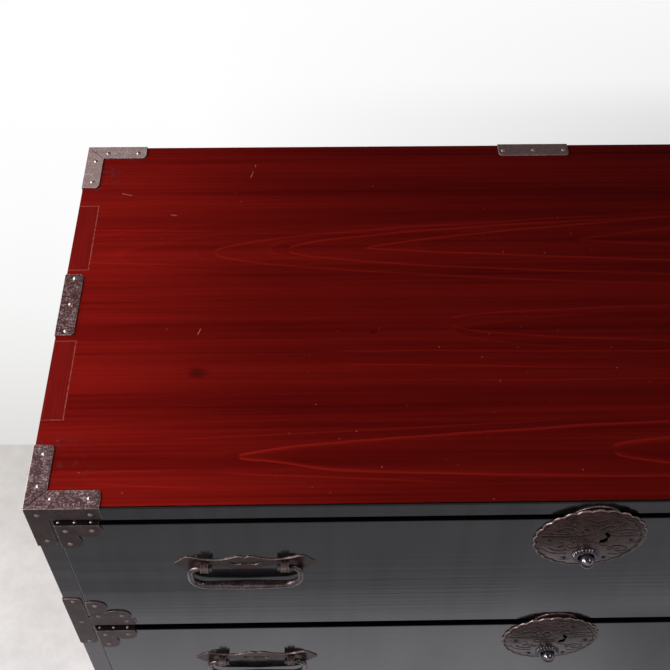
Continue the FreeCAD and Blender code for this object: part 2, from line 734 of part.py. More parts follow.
def corner_plate(name, flap):
    """A plate of two lobes at a drawer front's corner; the flap goes over its edge."""
    reach, lobe, notch, curl = (size.plate_reach, size.plate_lobe, size.plate_notch,
                                size.plate_curl)
    shoulder, waist, half = reach - curl, lobe - 3 * curl, curl / 2
    side = ((reach, waist / 2), (shoulder + half, waist))
    crown = ((reach - 2 * curl, lobe - curl), (reach - 5 * curl, lobe))
    dip = (lobe + half, lobe - half)
    plate = body(name)
    drawn = sketch(plate, name + "_face_sketch", "XZ_Plane", downward(outline(
        (0, 0), (shoulder, 0), side, crown, (dip, (notch, notch)),
        (dip[::-1], crown[1][::-1]), (crown[0][::-1], side[1][::-1]),
        (side[0][::-1], (0, shoulder)))))
    pad(plate, name + "_face", drawn, "iron_thickness")
    if flap:
        front, rear = -size.iron_thickness, size.plate_flap
        drawn = sketch(plate, name + "_flap_sketch", "XY_Plane", outline(
            (0, front), (shoulder, front), (shoulder, rear), (0, rear)))
        pad(plate, name + "_flap", drawn, "iron_thickness")
    return plate


def drawer_corner_irons(upper, lower):
    """Two flapped plates over the front's top corners and two flat ones below."""
    x = -size.drawer_width / 2
    for level in LEVELS:
        base = getattr(size, level + "_drawer_base")
        corners = (moved(upper, x, size.drawer_face, base + size.drawer_height),
                   moved(flipped(lower, down=True), x, size.drawer_face, base))
        group(level + "_drawer_corner_irons",
              [flipped(one, across=across) for one in corners for across in (False, True)])


# ---------------------------------------------------------------- locks

def lobed(radius, notch, count):
    """A closed outline of rounded lobes with small notches between them."""
    def at(angle, reach):
        return (reach * math.cos(angle), reach * math.sin(angle))
    step = 2 * math.pi / count
    start = at(-step / 2, radius - notch)
    steps = [(at(step * lobe, radius), at(step * (lobe + 0.5), radius - notch))
             for lobe in range(count)]
    curves, here = [], start
    for through, there in steps:
        curves.append(Part.Arc(point(here), point(through), point(there)))
        here = there
    return curves


def dome_rise(radius):
    """How far the lock plate's face, part of a sphere, stands out away from its centre."""
    sphere = (size.dome_radius ** 2 + size.lock_plate_dome ** 2) / (2 * size.lock_plate_dome)
    return (size.iron_thickness + size.lock_plate_dome - sphere
            + math.sqrt(sphere ** 2 - radius ** 2))


def lock_plate(level):
    """A thin lobed dome with the keyhole and the button's collar."""
    name = level + "_lock_plate"
    plate = body(name)
    skin, rim, dome = size.iron_thickness, size.dome_radius, size.lock_plate_dome
    half = rim / 2
    drawn = sketch(plate, name + "_dome_sketch", "XY_Plane", outline(
        (0, -dome), ((half, skin - dome_rise(half)), (rim, 0)), (rim, -skin),
        ((half, -dome_rise(half)), (0, -skin - dome))))
    revolve(plate, name + "_dome", drawn)
    ring = circle(2 * rim) + lobed(size.lock_plate_radius, size.lock_plate_notch, LOBES)
    drawn = sketch(plate, name + "_lobes_sketch", "XZ_Plane", ring, lift="-iron_thickness")
    pocket(plate, name + "_lobes", drawn, "lock_plate_dome + 3 * iron_thickness", back=True)
    near, far = -size.collar_rise, -dome_rise(size.button_drop + size.collar_radius)
    bore, rim_edge = size.button_bore, size.button_bore + size.collar_lip
    middle = (size.collar_radius + rim_edge) / 2 + size.collar_swell
    drawn = sketch(plate, name + "_collar_sketch", "XY_Plane", outline(
        (bore, far), (size.collar_radius, far),
        ((middle, (near + far) / 2), (rim_edge, near)), (bore, near)), lift="-button_drop")
    revolve(plate, name + "_collar", drawn)
    drawn = sketch(plate, name + "_button_hole_sketch", "XZ_Plane",
                   circle(bore, 0, -size.button_drop), lift="-iron_thickness")
    pocket(plate, name + "_button_hole", drawn, "collar_rise + 3 * iron_thickness", back=True)
    place = FreeCAD.Matrix()
    place.move(Vector(size.keyhole_across, size.keyhole_up, 0))
    hole = outline(*KEYHOLE)
    for curve in hole:
        curve.transform(place)
    drawn = sketch(plate, name + "_keyhole_sketch", "XZ_Plane", hole, lift="-iron_thickness")
    pocket(plate, name + "_keyhole", drawn, "lock_plate_dome + 3 * iron_thickness", back=True)
    locate(plate, y="drawer_face",
           z=f"{level}_drawer_base + drawer_height - lock_plate_drop")
    node(name, plate)


def lock_case(level):
    """A shallow sheet box, open towards the drawer front, slotted for the bolt."""
    name, top = level + "_lock_case", level + "_drawer_base + drawer_height - lock_top_drop"
    shell = box(name + "_outside", ("lock_width", "lock_depth", "lock_height"),
                ("-lock_width / 2", "lock_floor", f"{top} - lock_height"))
    inside = box(name + "_inside", (
        "lock_width - 2 * lock_wall", "lock_depth - lock_wall", "lock_height - 2 * lock_wall"),
        ("lock_wall - lock_width / 2", "lock_floor", f"{top} - lock_height + lock_wall"))
    slot = box(name + "_slot", ("bolt_width + 2 * bolt_clearance",
                                "bolt_thickness + 2 * bolt_clearance", "lock_wall"),
               ("-bolt_width / 2 - bolt_clearance",
                "bolt_plane - bolt_thickness / 2 - bolt_clearance", f"{top} - lock_wall"))
    node(name, cut(name + "_box", shell, [inside, slot]))


def lock_bolt(level):
    """Tongue, shouldered body and a foot that slopes at 45 degrees over the wedge."""
    name, drop = level + "_lock_bolt", size.lock_axis_drop
    top_gap = size.upper_top_gap if level == "upper" else size.lower_top_gap
    tip = drop + top_gap - size.iron_thickness - size.bolt_gap
    shoulder = drop - size.lock_top_drop - size.lock_wall - size.shoulder_drop
    tongue, wide, low = size.bolt_width / 2, size.bolt_body_width / 2, size.bolt_foot_height
    bolt = body(name)
    drawn = sketch(bolt, name + "_sketch", "XZ_Plane", outline(
        (-wide, low), (wide, low), (wide, shoulder), (tongue, shoulder), (tongue, tip),
        (-tongue, tip), (-tongue, shoulder), (-wide, shoulder)),
        lift="-bolt_inset - bolt_thickness / 2")
    pad(bolt, name + "_plate", drawn, "bolt_thickness")
    crest = size.wedge_depth + size.wedge_start + size.foot_gap
    near, far, top = size.foot_start, size.foot_end, low + size.foot_margin
    drawn = sketch(bolt, name + "_foot_sketch", "YZ_Plane", outline(
        (near, top), (near, crest - near), (far, crest - far), (far, top)),
        lift="-wedge_width / 2 - foot_margin")
    pad(bolt, name + "_foot", drawn, "wedge_width + 2 * foot_margin")
    locate(bolt, y="drawer_face",
           z=f"{level}_drawer_base + drawer_height - lock_axis_drop")
    node(name, bolt)


def lock_spring(level):
    """A folded leaf spring between each of the bolt's shoulders and the case's top."""
    name, leaf, slack = level + "_lock_spring", size.spring_thickness, size.spring_slack
    high = size.shoulder_drop - slack
    near = size.bolt_width / 2 + size.bolt_clearance
    far = size.lock_width / 2 - size.lock_wall - size.bolt_clearance
    spring = body(name + "_leaf")
    drawn = sketch(spring, name + "_sketch", "XZ_Plane", outline(
        (near, slack), (far, high / 2), (near, high), (near, high - leaf),
        (far - 2 * leaf, high / 2), (near, slack + leaf)),
        lift="-bolt_inset - bolt_thickness / 2")
    pad(spring, name + "_bend", drawn, "bolt_thickness")
    top = getattr(size, level + "_drawer_base") + size.drawer_height - size.lock_top_drop
    shape = moved(solid_of(spring), 0, size.drawer_face,
                  top - size.lock_wall - size.shoulder_drop)
    group(name, [shape, flipped(shape, across=True)])


def lock_button(level):
    """Ball, stem and the wedge that lifts the bolt, sloping at 45 degrees."""
    name, start, end = level + "_lock_button", size.wedge_start, size.wedge_end
    ball, stem, stand = size.button_radius, size.stem_radius, size.button_stand
    root = (start + end) / 2
    button = body(name)
    drawn = sketch(button, name + "_sketch", "XY_Plane", outline(
        (0, -stand - ball), ((ball, -stand), (stem, math.sqrt(ball ** 2 - stem ** 2) - stand)),
        (stem, start), (0, root)))
    revolve(button, name + "_turned", drawn)
    drawn = sketch(button, name + "_wedge_sketch", "YZ_Plane", outline(
        (start, -size.wedge_root), (end, -size.wedge_root), (end, 0),
        (start, size.wedge_depth)), lift="-wedge_width / 2")
    pad(button, name + "_wedge", drawn, "wedge_width")
    locate(button, y="drawer_face",
           z=f"{level}_drawer_base + drawer_height - lock_axis_drop")
    node(name, button)


# ---------------------------------------------------------------- handles

def handle_plate():
    """A long plate, widest at its end lobes and its middle, narrow beside the posts."""
    half, tall, post = (size.handle_plate_length / 2, size.handle_plate_height / 2,
                        size.post_offset)
    quarter = [Vector(half * across, tall * up, 0) for across, up in PLATE_QUARTER]
    edge = Part.BSplineCurve()
    edge.interpolate(quarter)
    upper = edge.toShape()
    lower = upper.mirror(Vector(), Vector(0, 1, 0))
    end = Part.LineSegment(quarter[-1], Vector(half, -quarter[-1].y, 0)).toShape()
    right = [upper, lower, end]
    sides = right + [one.mirror(Vector(), Vector(1, 0, 0)) for one in right]
    face = Part.Face(Part.Wire(Part.__sortEdges__(sides)))
    holes = [Part.Face(Part.Wire(Part.makeCircle(
        size.post_shank_radius + size.shank_clearance, Vector(x, 0, 0)))) for x in (-post, post)]
    for x in (-size.crescent_across, size.crescent_across):
        left, right = x - size.crescent_half, x + size.crescent_half
        slot = outline((left, 0), ((x, -size.crescent_sag), (right, 0)),
                       ((x, -size.crescent_rise), (left, 0)))
        holes.append(Part.Face(Part.Wire([curve.toShape() for curve in slot])))
    plate = face.cut(holes).extrude(Vector(0, 0, size.iron_thickness))
    plate.rotate(Vector(), Vector(1, 0, 0), 90)
    return plate


def handle_post():
    """A ribbed eye on a shank that goes through the front and is clenched behind."""
    half, rib = size.post_length / 2, size.post_length / (2 * RIBS - 1)
    profile = [(-half, size.eye_bore)]
    for count in range(2 * RIBS - 1):
        reach = size.post_radius - size.rib_depth * (count % 2)
        profile += [(count * rib - half, reach), ((count + 1) * rib - half, reach)]
    profile.append((half, size.eye_bore))
    post = body("handle_post")
    drawn = sketch(post, "handle_post_eye_sketch", "XY_Plane", outline(*profile))
    revolve(post, "handle_post_eye", drawn, "H_Axis")
    start = "(eye_bore + post_radius - rib_depth) / 2"
    drawn = sketch(post, "handle_post_shank_sketch", "XZ_Plane",
                   circle(size.post_shank_radius), lift=f"-{start}")
    pad(post, "handle_post_shank", drawn,
        f"handle_stand + drawer_front_thickness + 2 * iron_thickness - {start}", back=True)
    long, wide = size.clench_length / 2, size.clench_width / 2
    drawn = sketch(post, "handle_post_clench_sketch", "XZ_Plane", outline(
        (-long, -wide), (long, -wide), (long, wide), (-long, wide)),
        lift="-handle_stand - drawer_front_thickness")
    pad(post, "handle_post_clench", drawn, "iron_thickness", back=True)
    return post


def turned_arc(centre, radius, start, finish):
    """An arc in the XZ plane, between two angles in degrees."""
    def at(angle):
        turn = math.radians(angle)
        return Vector(centre[0] + radius * math.cos(turn), 0,
                      centre[1] + radius * math.sin(turn))
    return Part.Arc(at(start), at((start + finish) / 2), at(finish))


def bail():
    """A bar that swells from its turned-in tips to the middle of its grip."""
    arm, drop = size.bail_width / 2, size.bail_drop
    shoulder, bend = size.bail_shoulder, size.bail_bend
    tip = size.post_offset - size.post_length / 2 - size.button_gap - size.bail_button_length
    path = Part.Wire([curve.toShape() for curve in (
        Part.LineSegment(Vector(tip, 0, 0), Vector(arm - shoulder, 0, 0)),
        turned_arc((arm - shoulder, -shoulder), shoulder, 90, 0),
        Part.LineSegment(Vector(arm, 0, -shoulder), Vector(arm, 0, bend - drop)),
        turned_arc((arm - bend, bend - drop), bend, 0, -90),
        Part.LineSegment(Vector(arm - bend, 0, -drop), Vector(0, 0, -drop)))])
    sweep = Part.BRepOffsetAPI.MakePipeShell(path)
    sweep.setFrenetMode(False)
    for spot, radius in ((Vector(tip, 0, 0), size.bail_tip_radius),
                         (Vector(0, 0, -drop), size.bail_middle_radius)):
        sweep.add(Part.Wire(Part.makeCircle(radius, spot, Vector(1, 0, 0))))
    sweep.build()
    sweep.makeSolid()
    button = Part.makeCylinder(size.bail_button_radius, size.bail_button_length,
                               Vector(tip, 0, 0), Vector(1, 0, 0))
    half = sweep.shape().fuse(button)
    return half.fuse(flipped(half, across=True)).removeSplitter()


def handles():
    """Two handles to a drawer: plate, posts and a bail that swings in their eyes."""
    plate, post, grip = handle_plate(), solid_of(handle_post()), bail()
    for level in LEVELS:
        height = (getattr(size, level + "_drawer_base") + size.drawer_height
                  - size.handle_drop)
        sides = (("left", -size.handle_across), ("right", size.handle_across))
        group(level + "_handle_plates",
              [moved(plate, x, size.drawer_face, height) for _, x in sides])
        group(level + "_handle_posts",
              [moved(post, x + way * size.post_offset, size.handle_axis, height)
               for _, x in sides for way in (-1, 1)])
        for side, x in sides:
            group(f"{level}_{side}_bail", [moved(grip, x, size.handle_axis, height)])


def drawer_nails():
    """Nails of the corner plates, of their flaps and of the lock plate."""
    skin, face, ring = size.iron_thickness, size.drawer_face, size.lock_nail_radius
    left, inset = -size.drawer_width / 2, size.plate_nail_inset
    far = size.plate_reach - inset - skin
    lean = 2 * size.lock_plate_dome * ring / size.dome_radius ** 2
    for level in LEVELS:
        base = getattr(size, level + "_drawer_base")
        top = base + size.drawer_height
        spots = [(left + a, face - skin, edge + way * b)
                 for edge, way in ((top, -1), (base, 1))
                 for a, b in ((inset, inset), (far, inset), (inset, far))]
        shapes = nails_at(spots, (0, -1, 0))
        edge = 2 * size.flap_nail_radius
        shapes += nails_at([(left + a, face + size.flap_nail_inset, top + skin)
                            for a in (edge, (edge + far) / 2, far)], (0, 0, 1),
                           size.flap_nail_radius)
        shapes = [flipped(one, across=across) for one in shapes for across in (False, True)]
        for count in range(PLATE_NAILS):
            turn = 2 * math.pi * count / PLATE_NAILS
            out = (math.cos(turn), math.sin(turn))
            shapes += nails_at([(ring * out[0], face - dome_rise(ring),
                                 top - size.lock_plate_drop + ring * out[1])],
                               (lean * out[0], -1, lean * out[1]))
        group(level + "_drawer_nails", shapes)


# ---------------------------------------------------------------- the whole chest

def build():
    top_and_bottom()
    rails, shelves = rails_and_shelves()
    side_boards(rails + shelves)
    mortised = [cut(f"{name}_rail_board", rail, [mortise(name + "_rail", name + "_rail_base")])
                for name, rail in zip(("middle", "upper"), rails)]
    group("front_rails", [solid_of(rail) for rail in mortised])
    group("shelf_boards", [solid_of(shelf) for shelf in shelves])
    back_boards()
    corner_irons()
    rail_irons()
    edge_irons()
    lock_keepers()
    case_nails()
    for level in LEVELS:
        drawer_boards(level)
        lock_plate(level)
        lock_case(level)
        lock_bolt(level)
        lock_spring(level)
        lock_button(level)
    drawer_corner_irons(solid_of(corner_plate("flapped_plate", True)),
                        solid_of(corner_plate("flat_plate", False)))
    handles()
    drawer_nails()


def check_and_write():
    doc.recompute()
    for item in doc.Objects:
        if "Invalid" in item.State or "Error" in item.State:
            raise RuntimeError(f"{item.Label} failed: {item.State}")
    for name, item in NODES.items():
        if item.Shape.isNull() or not item.Shape.isValid():
            raise RuntimeError(name + " has no valid shape")
    os.makedirs("parts", exist_ok=True)
    for name, item in NODES.items():
        item.Shape.exportStep(f"parts/{name}.step")
    print(len(NODES), "nodes, case height", size.case_height)


build()
check_and_write()
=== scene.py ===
"""Looks of the tansu chest: materials, dressed ironwork, floor, light and camera.

Metres, in the CAD frame: X right, Y back, Z up, origin under the middle of the case.
Where a comment says mm, the values are millimetres.
"""
import math

import bmesh
import bpy
import numpy as np
from mathutils import Matrix, Vector


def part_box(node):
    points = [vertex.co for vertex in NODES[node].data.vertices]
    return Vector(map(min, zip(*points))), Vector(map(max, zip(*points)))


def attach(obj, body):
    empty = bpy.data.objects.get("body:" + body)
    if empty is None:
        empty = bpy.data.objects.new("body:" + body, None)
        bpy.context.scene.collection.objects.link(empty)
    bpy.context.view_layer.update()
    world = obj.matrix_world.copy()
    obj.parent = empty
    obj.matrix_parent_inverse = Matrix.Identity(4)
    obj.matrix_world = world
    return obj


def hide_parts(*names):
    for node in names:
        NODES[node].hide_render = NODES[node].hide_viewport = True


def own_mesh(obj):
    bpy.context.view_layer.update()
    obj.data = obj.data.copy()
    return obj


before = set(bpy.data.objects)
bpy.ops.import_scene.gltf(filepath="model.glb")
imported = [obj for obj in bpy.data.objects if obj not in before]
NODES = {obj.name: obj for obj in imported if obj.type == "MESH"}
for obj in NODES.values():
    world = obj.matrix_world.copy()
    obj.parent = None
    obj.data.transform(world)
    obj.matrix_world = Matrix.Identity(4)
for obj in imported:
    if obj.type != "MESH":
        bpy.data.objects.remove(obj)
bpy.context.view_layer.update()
scene = bpy.context.scene
MM = 0.001
LEVELS = ("upper", "middle", "lower")


def box_of(node):
    """A CAD node's box, rounded past the error of its mesh."""
    return [[round(value, 6) for value in corner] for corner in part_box(node)]


HALF_WIDTH, REAR, TOP = box_of("top_board")[1]
FRONT = box_of("top_board")[0][1]
SIDE_INNER = box_of("right_side_board")[0][0]
DRAWER_FACE = box_of("upper_drawer_front")[0][1]


# ------------ camera

YAW, PITCH, ROLL = 1.46, 51.34, 0.56  # degrees
CAMERA_PLACE = (-0.2232, -0.6356, 1.3728)
SENSOR = 36  # its width in mm
FOCAL_PIXELS, FRAME_PIXELS = 1078.9, 670  # the focal length and the width of the frame


def add_camera():
    """Looks down at the chest from the front, a little left of its middle."""
    yaw, pitch, roll = (math.radians(a) for a in (YAW, PITCH, ROLL))
    look = Vector((math.sin(yaw) * math.cos(pitch), math.cos(yaw) * math.cos(pitch),
                   -math.sin(pitch)))
    right = Vector((math.cos(yaw), -math.sin(yaw), 0))
    up = right.cross(look)
    across = math.cos(roll) * right + math.sin(roll) * up
    above = -math.sin(roll) * right + math.cos(roll) * up
    data = bpy.data.cameras.new("camera")
    data.sensor_width = SENSOR
    data.lens = SENSOR * FOCAL_PIXELS / FRAME_PIXELS
    data.clip_start = 0.01
    data.clip_end = 100
    camera = bpy.data.objects.new("camera", data)
    turn = Matrix((across, above, -look)).transposed().to_4x4()
    camera.matrix_world = Matrix.Translation(CAMERA_PLACE) @ turn
    scene.collection.objects.link(camera)
    scene.camera = camera


# ------------ node trees

class Graph:
    """The nodes of one material or world, put together as sums."""

    def __init__(self, holder, output="ShaderNodeOutputMaterial", coordinates="Object"):
        holder.use_nodes = True
        self.holder = holder
        self.tree = holder.node_tree
        self.tree.nodes.clear()
        self.out = self.tree.nodes.new(output)
        self.spot = self.node("ShaderNodeTexCoord").outputs[coordinates]
        self.x, self.y, self.z = self.node("ShaderNodeSeparateXYZ", {0: self.spot}).outputs

    def node(self, kind, inputs=None, **settings):
        item = self.tree.nodes.new(kind)
        for key, value in settings.items():
            setattr(item, key, value)
        for key, value in (inputs or {}).items():
            self.feed(item.inputs[key], value)
        return item

    def feed(self, socket, value):
        if isinstance(value, bpy.types.NodeSocket):
            self.tree.links.new(value, socket)
        elif isinstance(value, tuple) and len(value) == 3 and socket.type == "RGBA":
            socket.default_value = (*value, 1)
        else:
            socket.default_value = value

    def math(self, operation, *values):
        return self.node("ShaderNodeMath", dict(enumerate(values)),
                         operation=operation).outputs[0]

    def chain(self, operation, values):
        total = values[0]
        for value in values[1:]:
            total = self.math(operation, total, value)
        return total

    def add(self, *values):
        return self.chain("ADD", values)

    def mul(self, *values):
        return self.chain("MULTIPLY", values)

    def max(self, *values):
        return self.chain("MAXIMUM", values)

    def sub(self, a, b):
        return self.math("SUBTRACT", a, b)

    def div(self, a, b):
        return self.math("DIVIDE", a, b)

    def abs(self, value):
        return self.math("ABSOLUTE", value)

    def length(self, a, b):
        return self.math("SQRT", self.add(self.mul(a, a), self.mul(b, b)))

    def clamp(self, value):
        return self.node("ShaderNodeMath", {0: value, 1: 1.0}, operation="MULTIPLY",
                         use_clamp=True).outputs[0]

    def step(self, value, low, high, start=0.0, end=1.0, kind="SMOOTHSTEP"):
        """start at low and before it, end at high and past it."""
        return self.node("ShaderNodeMapRange", {0: value, 1: low, 2: high, 3: start, 4: end},
                         interpolation_type=kind).outputs[0]

    def linear(self, value, low, high):
        """0 at low and before it, 1 at high and past it, evenly between them."""
        return self.step(value, low, high, kind="LINEAR")

    def ramp(self, value, *stops):
        """A grey that runs through the stops, each of them a value and its grey."""
        item = self.node("ShaderNodeValToRGB", {0: value})
        marks = item.color_ramp.elements
        while len(marks) < len(stops):
            marks.new(0.5)
        for mark, (place, shade) in zip(marks, stops):
            mark.position, mark.color = place, (shade, shade, shade, 1)
        return item.outputs[0]

    def facing(self, axis):
        """How far the face looks along X, Y or Z, from -1 to 1."""
        normal = self.node("ShaderNodeNewGeometry").outputs["Normal"]
        return self.node("ShaderNodeSeparateXYZ", {0: normal}).outputs[axis]

    def scaled(self, x, y, z, shift=(0, 0, 0)):
        """The spot with each coordinate multiplied."""
        return self.node("ShaderNodeMapping", {0: self.spot, "Scale": (x, y, z),
                                               "Location": shift}).outputs[0]

    def grain(self, along, run, cross, shift=0.0):
        """The spot scaled by run along one axis and by cross along the others."""
        scales = [run if axis == along else cross for axis in "xyz"]
        return self.scaled(*scales, (shift, shift, shift))

    def noise(self, vector, scale=1.0, detail=2.0, rough=0.5, distort=0.0):
        return self.node("ShaderNodeTexNoise", {
            "Vector": vector, "Scale": scale, "Detail": detail, "Roughness": rough,
            "Distortion": distort}).outputs["Fac"]

    def speckle(self, vector, scale, near, far):
        """1 at scattered points, fading to 0 away from them."""
        item = self.node("ShaderNodeTexVoronoi", {"Vector": vector, "Scale": scale})
        return self.step(item.outputs["Distance"], far, near)

    def random(self, value):
        return self.node("ShaderNodeTexWhiteNoise", {"W": value},
                         noise_dimensions="1D").outputs["Value"]

    def mix(self, factor, a, b, blend="MIX"):
        """A colour between a and b."""
        return self.node("ShaderNodeMix", {0: factor, 6: a, 7: b}, data_type="RGBA",
                         blend_type=blend).outputs[2]

    def blend(self, factor, a, b):
        """A number between a and b."""
        return self.node("ShaderNodeMix", {0: factor, 2: a, 3: b}).outputs[0]

    def grey(self, level):
        return self.node("ShaderNodeCombineXYZ", {0: level, 1: level, 2: level}).outputs[0]

    def tinted(self, color, other):
        return self.mix(1.0, color, other, "MULTIPLY")

    def bump(self, height, distance, strength=1.0, under=None):
        item = self.node("ShaderNodeBump", {"Height": height, "Distance": distance,
                                            "Strength": strength})
        if under:
            self.feed(item.inputs["Normal"], under)
        return item.outputs[0]

    def emission(self, color):
        return self.node("ShaderNodeEmission", {0: color, 1: 1.0}).outputs[0]

    def shaders(self, factor, a, b):
        return self.node("ShaderNodeMixShader", {0: factor, 1: a, 2: b}).outputs[0]

    def done(self, shader):
        self.tree.links.new(shader, self.out.inputs[0])
        return self.holder

    def surface(self, color, rough, normal=None, metallic=0.0, coat=0.0, ior=1.5):
        shader = self.node("ShaderNodeBsdfPrincipled", {
            "Base Color": color, "Roughness": rough, "Metallic": metallic, "IOR": ior,
            "Coat Weight": coat, "Coat Roughness": 0.1})
        if normal:
            self.feed(shader.inputs["Normal"], normal)
        return self.done(shader.outputs[0])


def material_graph(name):
    return Graph(bpy.data.materials.new(name))


# ------------ wood

RED_DARK, RED_LIGHT = (0.076, 0.0018, 0.0015), (0.235, 0.0085, 0.0056)
RING_SPACING = 0.0035  # of the year rings
# the three boards glued up: the pith's place across, its drift along the board, its
# distance under the face where the board's middle is, and that distance's slope
BOARDS = ((0.0745, 0.030, 0.0392, 0.050), (-0.0340, 0.000, 0.0680, 0.020),
          (-0.1600, 0.012, 0.0737, 0.011))
# knots of the red boards: their places along and across, and their size
KNOTS = ((-0.3267, -0.0787, 0.0062), (-0.1741, -0.0354, 0.0022))
# the arched grain of the top board: tip x and y, how far the rear and the front arm have
# spread 100 mm behind the tip, each with its power, strength, fade inside the line and how
# long the front arm keeps close to the middle
FLAMES = (
    (-0.290, -0.1635, 0.0141, 0.60, 0.0164, 0.30, 0.90, 0.0065, 0.060),
    (0.0165, -0.1610, 0.0150, 0.33, 0.0200, 0.45, 1.00, 0.0090, 0.0),
    (-0.321, 0.0630, 0.0230, 0.50, 0.0220, 0.50, 0.60, 0.0060, 0.0),
    (-0.251, 0.0650, 0.0215, 0.50, 0.0185, 0.50, 0.80, 0.0050, 0.0),
    (-0.178, 0.0670, 0.0170, 0.75, 0.0085, 0.80, 0.90, 0.0040, 0.0),
    (0.025, 0.0750, 0.0160, 0.80, 0.0080, 0.80, 0.60, 0.0060, 0.0),
    (-0.106, -0.0250, 0.0143, 0.28, 0.0180, 0.40, 0.55, 0.0030, 0.0),
)
# straight grain lines: first x and y, last x and y, strength
GRAIN_LINES = (
    (-0.200, -0.0564, 0.330, -0.0612, 0.60),
    (-0.200, -0.0701, 0.200, -0.0825, 0.50),
    (-0.076, -0.0896, 0.240, -0.0894, 0.42),
    (-0.330, -0.1460, -0.046, -0.1330, 0.42),
    (-0.450, 0.0524, -0.365, 0.0487, 0.50),
    (-0.365, 0.0012, -0.198, -0.0009, 0.35),
    (-0.434, -0.0159, -0.323, -0.0171, 0.30),
    (-0.450, 0.0950, -0.329, 0.0910, 0.38),
    (-0.290, -0.1802, -0.120, -0.1905, 0.50),
    (-0.420, -0.1775, -0.350, -0.1765, 0.35),
    (-0.405, -0.1880, -0.340, -0.1925, 0.35),
)
# pale scratches on the top board: both their ends
SCRATCHES = (((-0.4168, 0.1435), (-0.4022, 0.1398)), ((-0.3657, 0.1136), (-0.3573, 0.1116)),
             ((-0.2895, 0.1628), (-0.2859, 0.1759)), ((-0.2850, 0.1789), (-0.2842, 0.1848)),
             ((-0.3271, -0.0288), (-0.3301, -0.0379)))
FINGERS = ((-0.126, -0.042), (0.042, 0.126))  # of the side boards, through the top
HAIRLINE = 0.0007  # how far from its middle a scratch or a joint line fades out


def rings(g, across, pith, depth, seed):
    """Year rings on a face over a pith: 1 at each ring's edge, fading inside it."""
    count = g.div(g.length(g.sub(across, pith), depth), RING_SPACING)
    ring = g.math("FLOOR", count)
    near = g.sub(1.0, g.sub(count, ring))
    bright = g.math("POWER", g.random(g.add(ring, seed)), 4.0)
    edge = g.add(g.mul(g.math("POWER", near, 9.0), 0.7), g.mul(near, 0.3))
    return g.mul(edge, g.add(0.25, bright))


def flame(g, along, across, tip_x, tip_y, rear, rear_power, front, front_power, strength,
          fade, neck):
    """One arched grain line: sharp outside, fading inwards."""
    reach = g.max(g.sub(along, tip_x), 1e-6)
    offset = g.sub(across, tip_y)
    behind = g.math("GREATER_THAN", offset, 0.0)
    if neck:
        front = g.mul(g.blend(g.step(reach, 0.25 * neck, 1.45 * neck), 0.42, 1.0), front)
    spread = g.mul(g.blend(behind, front, rear),
                   g.math("POWER", g.div(reach, 0.1),
                          g.blend(behind, front_power, rear_power)))
    outside = g.sub(g.abs(offset), spread)
    inner = g.step(outside, -fade, 0.0)
    thin = g.step(outside, -0.0022, -0.0003)
    edge = g.math("MINIMUM", g.step(outside, 0.0010, 0.0002),
                  g.add(g.mul(inner, inner, 0.50), g.mul(thin, 0.65)))
    start = g.step(reach, 0.0, 0.004)
    tail = g.sub(1.0, g.mul(g.step(reach, 0.20, 0.60), 0.6))
    return g.mul(edge, start, tail, strength)


def grain_line(g, along, across, x0, y0, x1, y1, strength):
    """One straight thin grain line that fades at both its ends."""
    height = g.add(g.mul(g.sub(along, x0), (y1 - y0) / (x1 - x0)), y0)
    away = g.abs(g.sub(across, height))
    ends = g.mul(g.step(along, x0 - 0.03, x0 + 0.02), g.step(along, x1 + 0.04, x1 - 0.02))
    return g.mul(g.step(away, 0.0013, 0.0002), ends, strength)


def red_lacquer(name, along, across, figured=False):
    """Translucent red over softwood, its grain along one axis of the board's face."""
    g = material_graph(name)
    axes = {"x": g.x, "y": g.y, "z": g.z}
    a, b = axes[along], axes[across]

    def long_noise(run, cross, detail=2.0, rough=0.5, shift=0.0):
        return g.noise(g.grain(along, run, cross, shift), 1.0, detail, rough)

    wander = g.mul(g.sub(long_noise(3.0, 7.0, shift=4.0), 0.5), 0.016)
    ripple = g.mul(g.sub(long_noise(16.0, 50.0, shift=9.0), 0.5), 0.0030)
    warped = g.add(b, wander, ripple)
    fields = [rings(g, warped, g.add(place, g.mul(a, drift)),
                    g.sub(depth, g.mul(a, slope)), 17.0 * index)
              for index, (place, drift, depth, slope) in enumerate(BOARDS)]
    lines = g.blend(g.step(b, 0.000, 0.032),
                    g.blend(g.step(b, -0.118, -0.088), fields[2], fields[1]), fields[0])
    if figured:
        bent = g.add(b, ripple, g.mul(wander, 0.12))
        lines = g.max(g.mul(lines, 0.35),
                      *[flame(g, a, bent, *numbers) for numbers in FLAMES],
                      *[grain_line(g, a, bent, *numbers) for numbers in GRAIN_LINES])
    streaks = g.add(g.mul(long_noise(2.2, 260.0, 3.0, 0.62, 2.0), 0.6),
                    g.mul(long_noise(5.0, 900.0, shift=7.0), 0.4))
    clouds = long_noise(2.5, 7.0, 3.0, 0.55, 1.0)
    bands = g.step(long_noise(1.3, 42.0, 3.0, 0.60, 5.0), 0.28, 0.72)
    shows = g.step(long_noise(2.2, 5.0, shift=12.0), 0.34, 0.66)
    tone = g.add(g.mul(lines, g.blend(shows, 0.50, 0.85)),
                 g.mul(g.sub(streaks, 0.5), 1.05 if figured else 0.75),
                 g.mul(g.sub(clouds, 0.5), 0.40),
                 g.mul(g.sub(bands, 0.5), 0.34 if figured else 0.18), 0.27)
    color = g.mix(g.clamp(tone), RED_DARK, RED_LIGHT)
    knots = []
    for place, height, size in KNOTS:
        away = g.length(g.div(g.sub(a, place), size * 1.5), g.div(g.sub(b, height), size))
        knots.append(g.step(g.add(away, g.mul(long_noise(90.0, 240.0), 0.9)), 1.9, 0.6))
    color = g.mix(g.mul(g.max(*knots), 0.62), color, (0.020, 0.0020, 0.0020))
    return g, color, lines, streaks


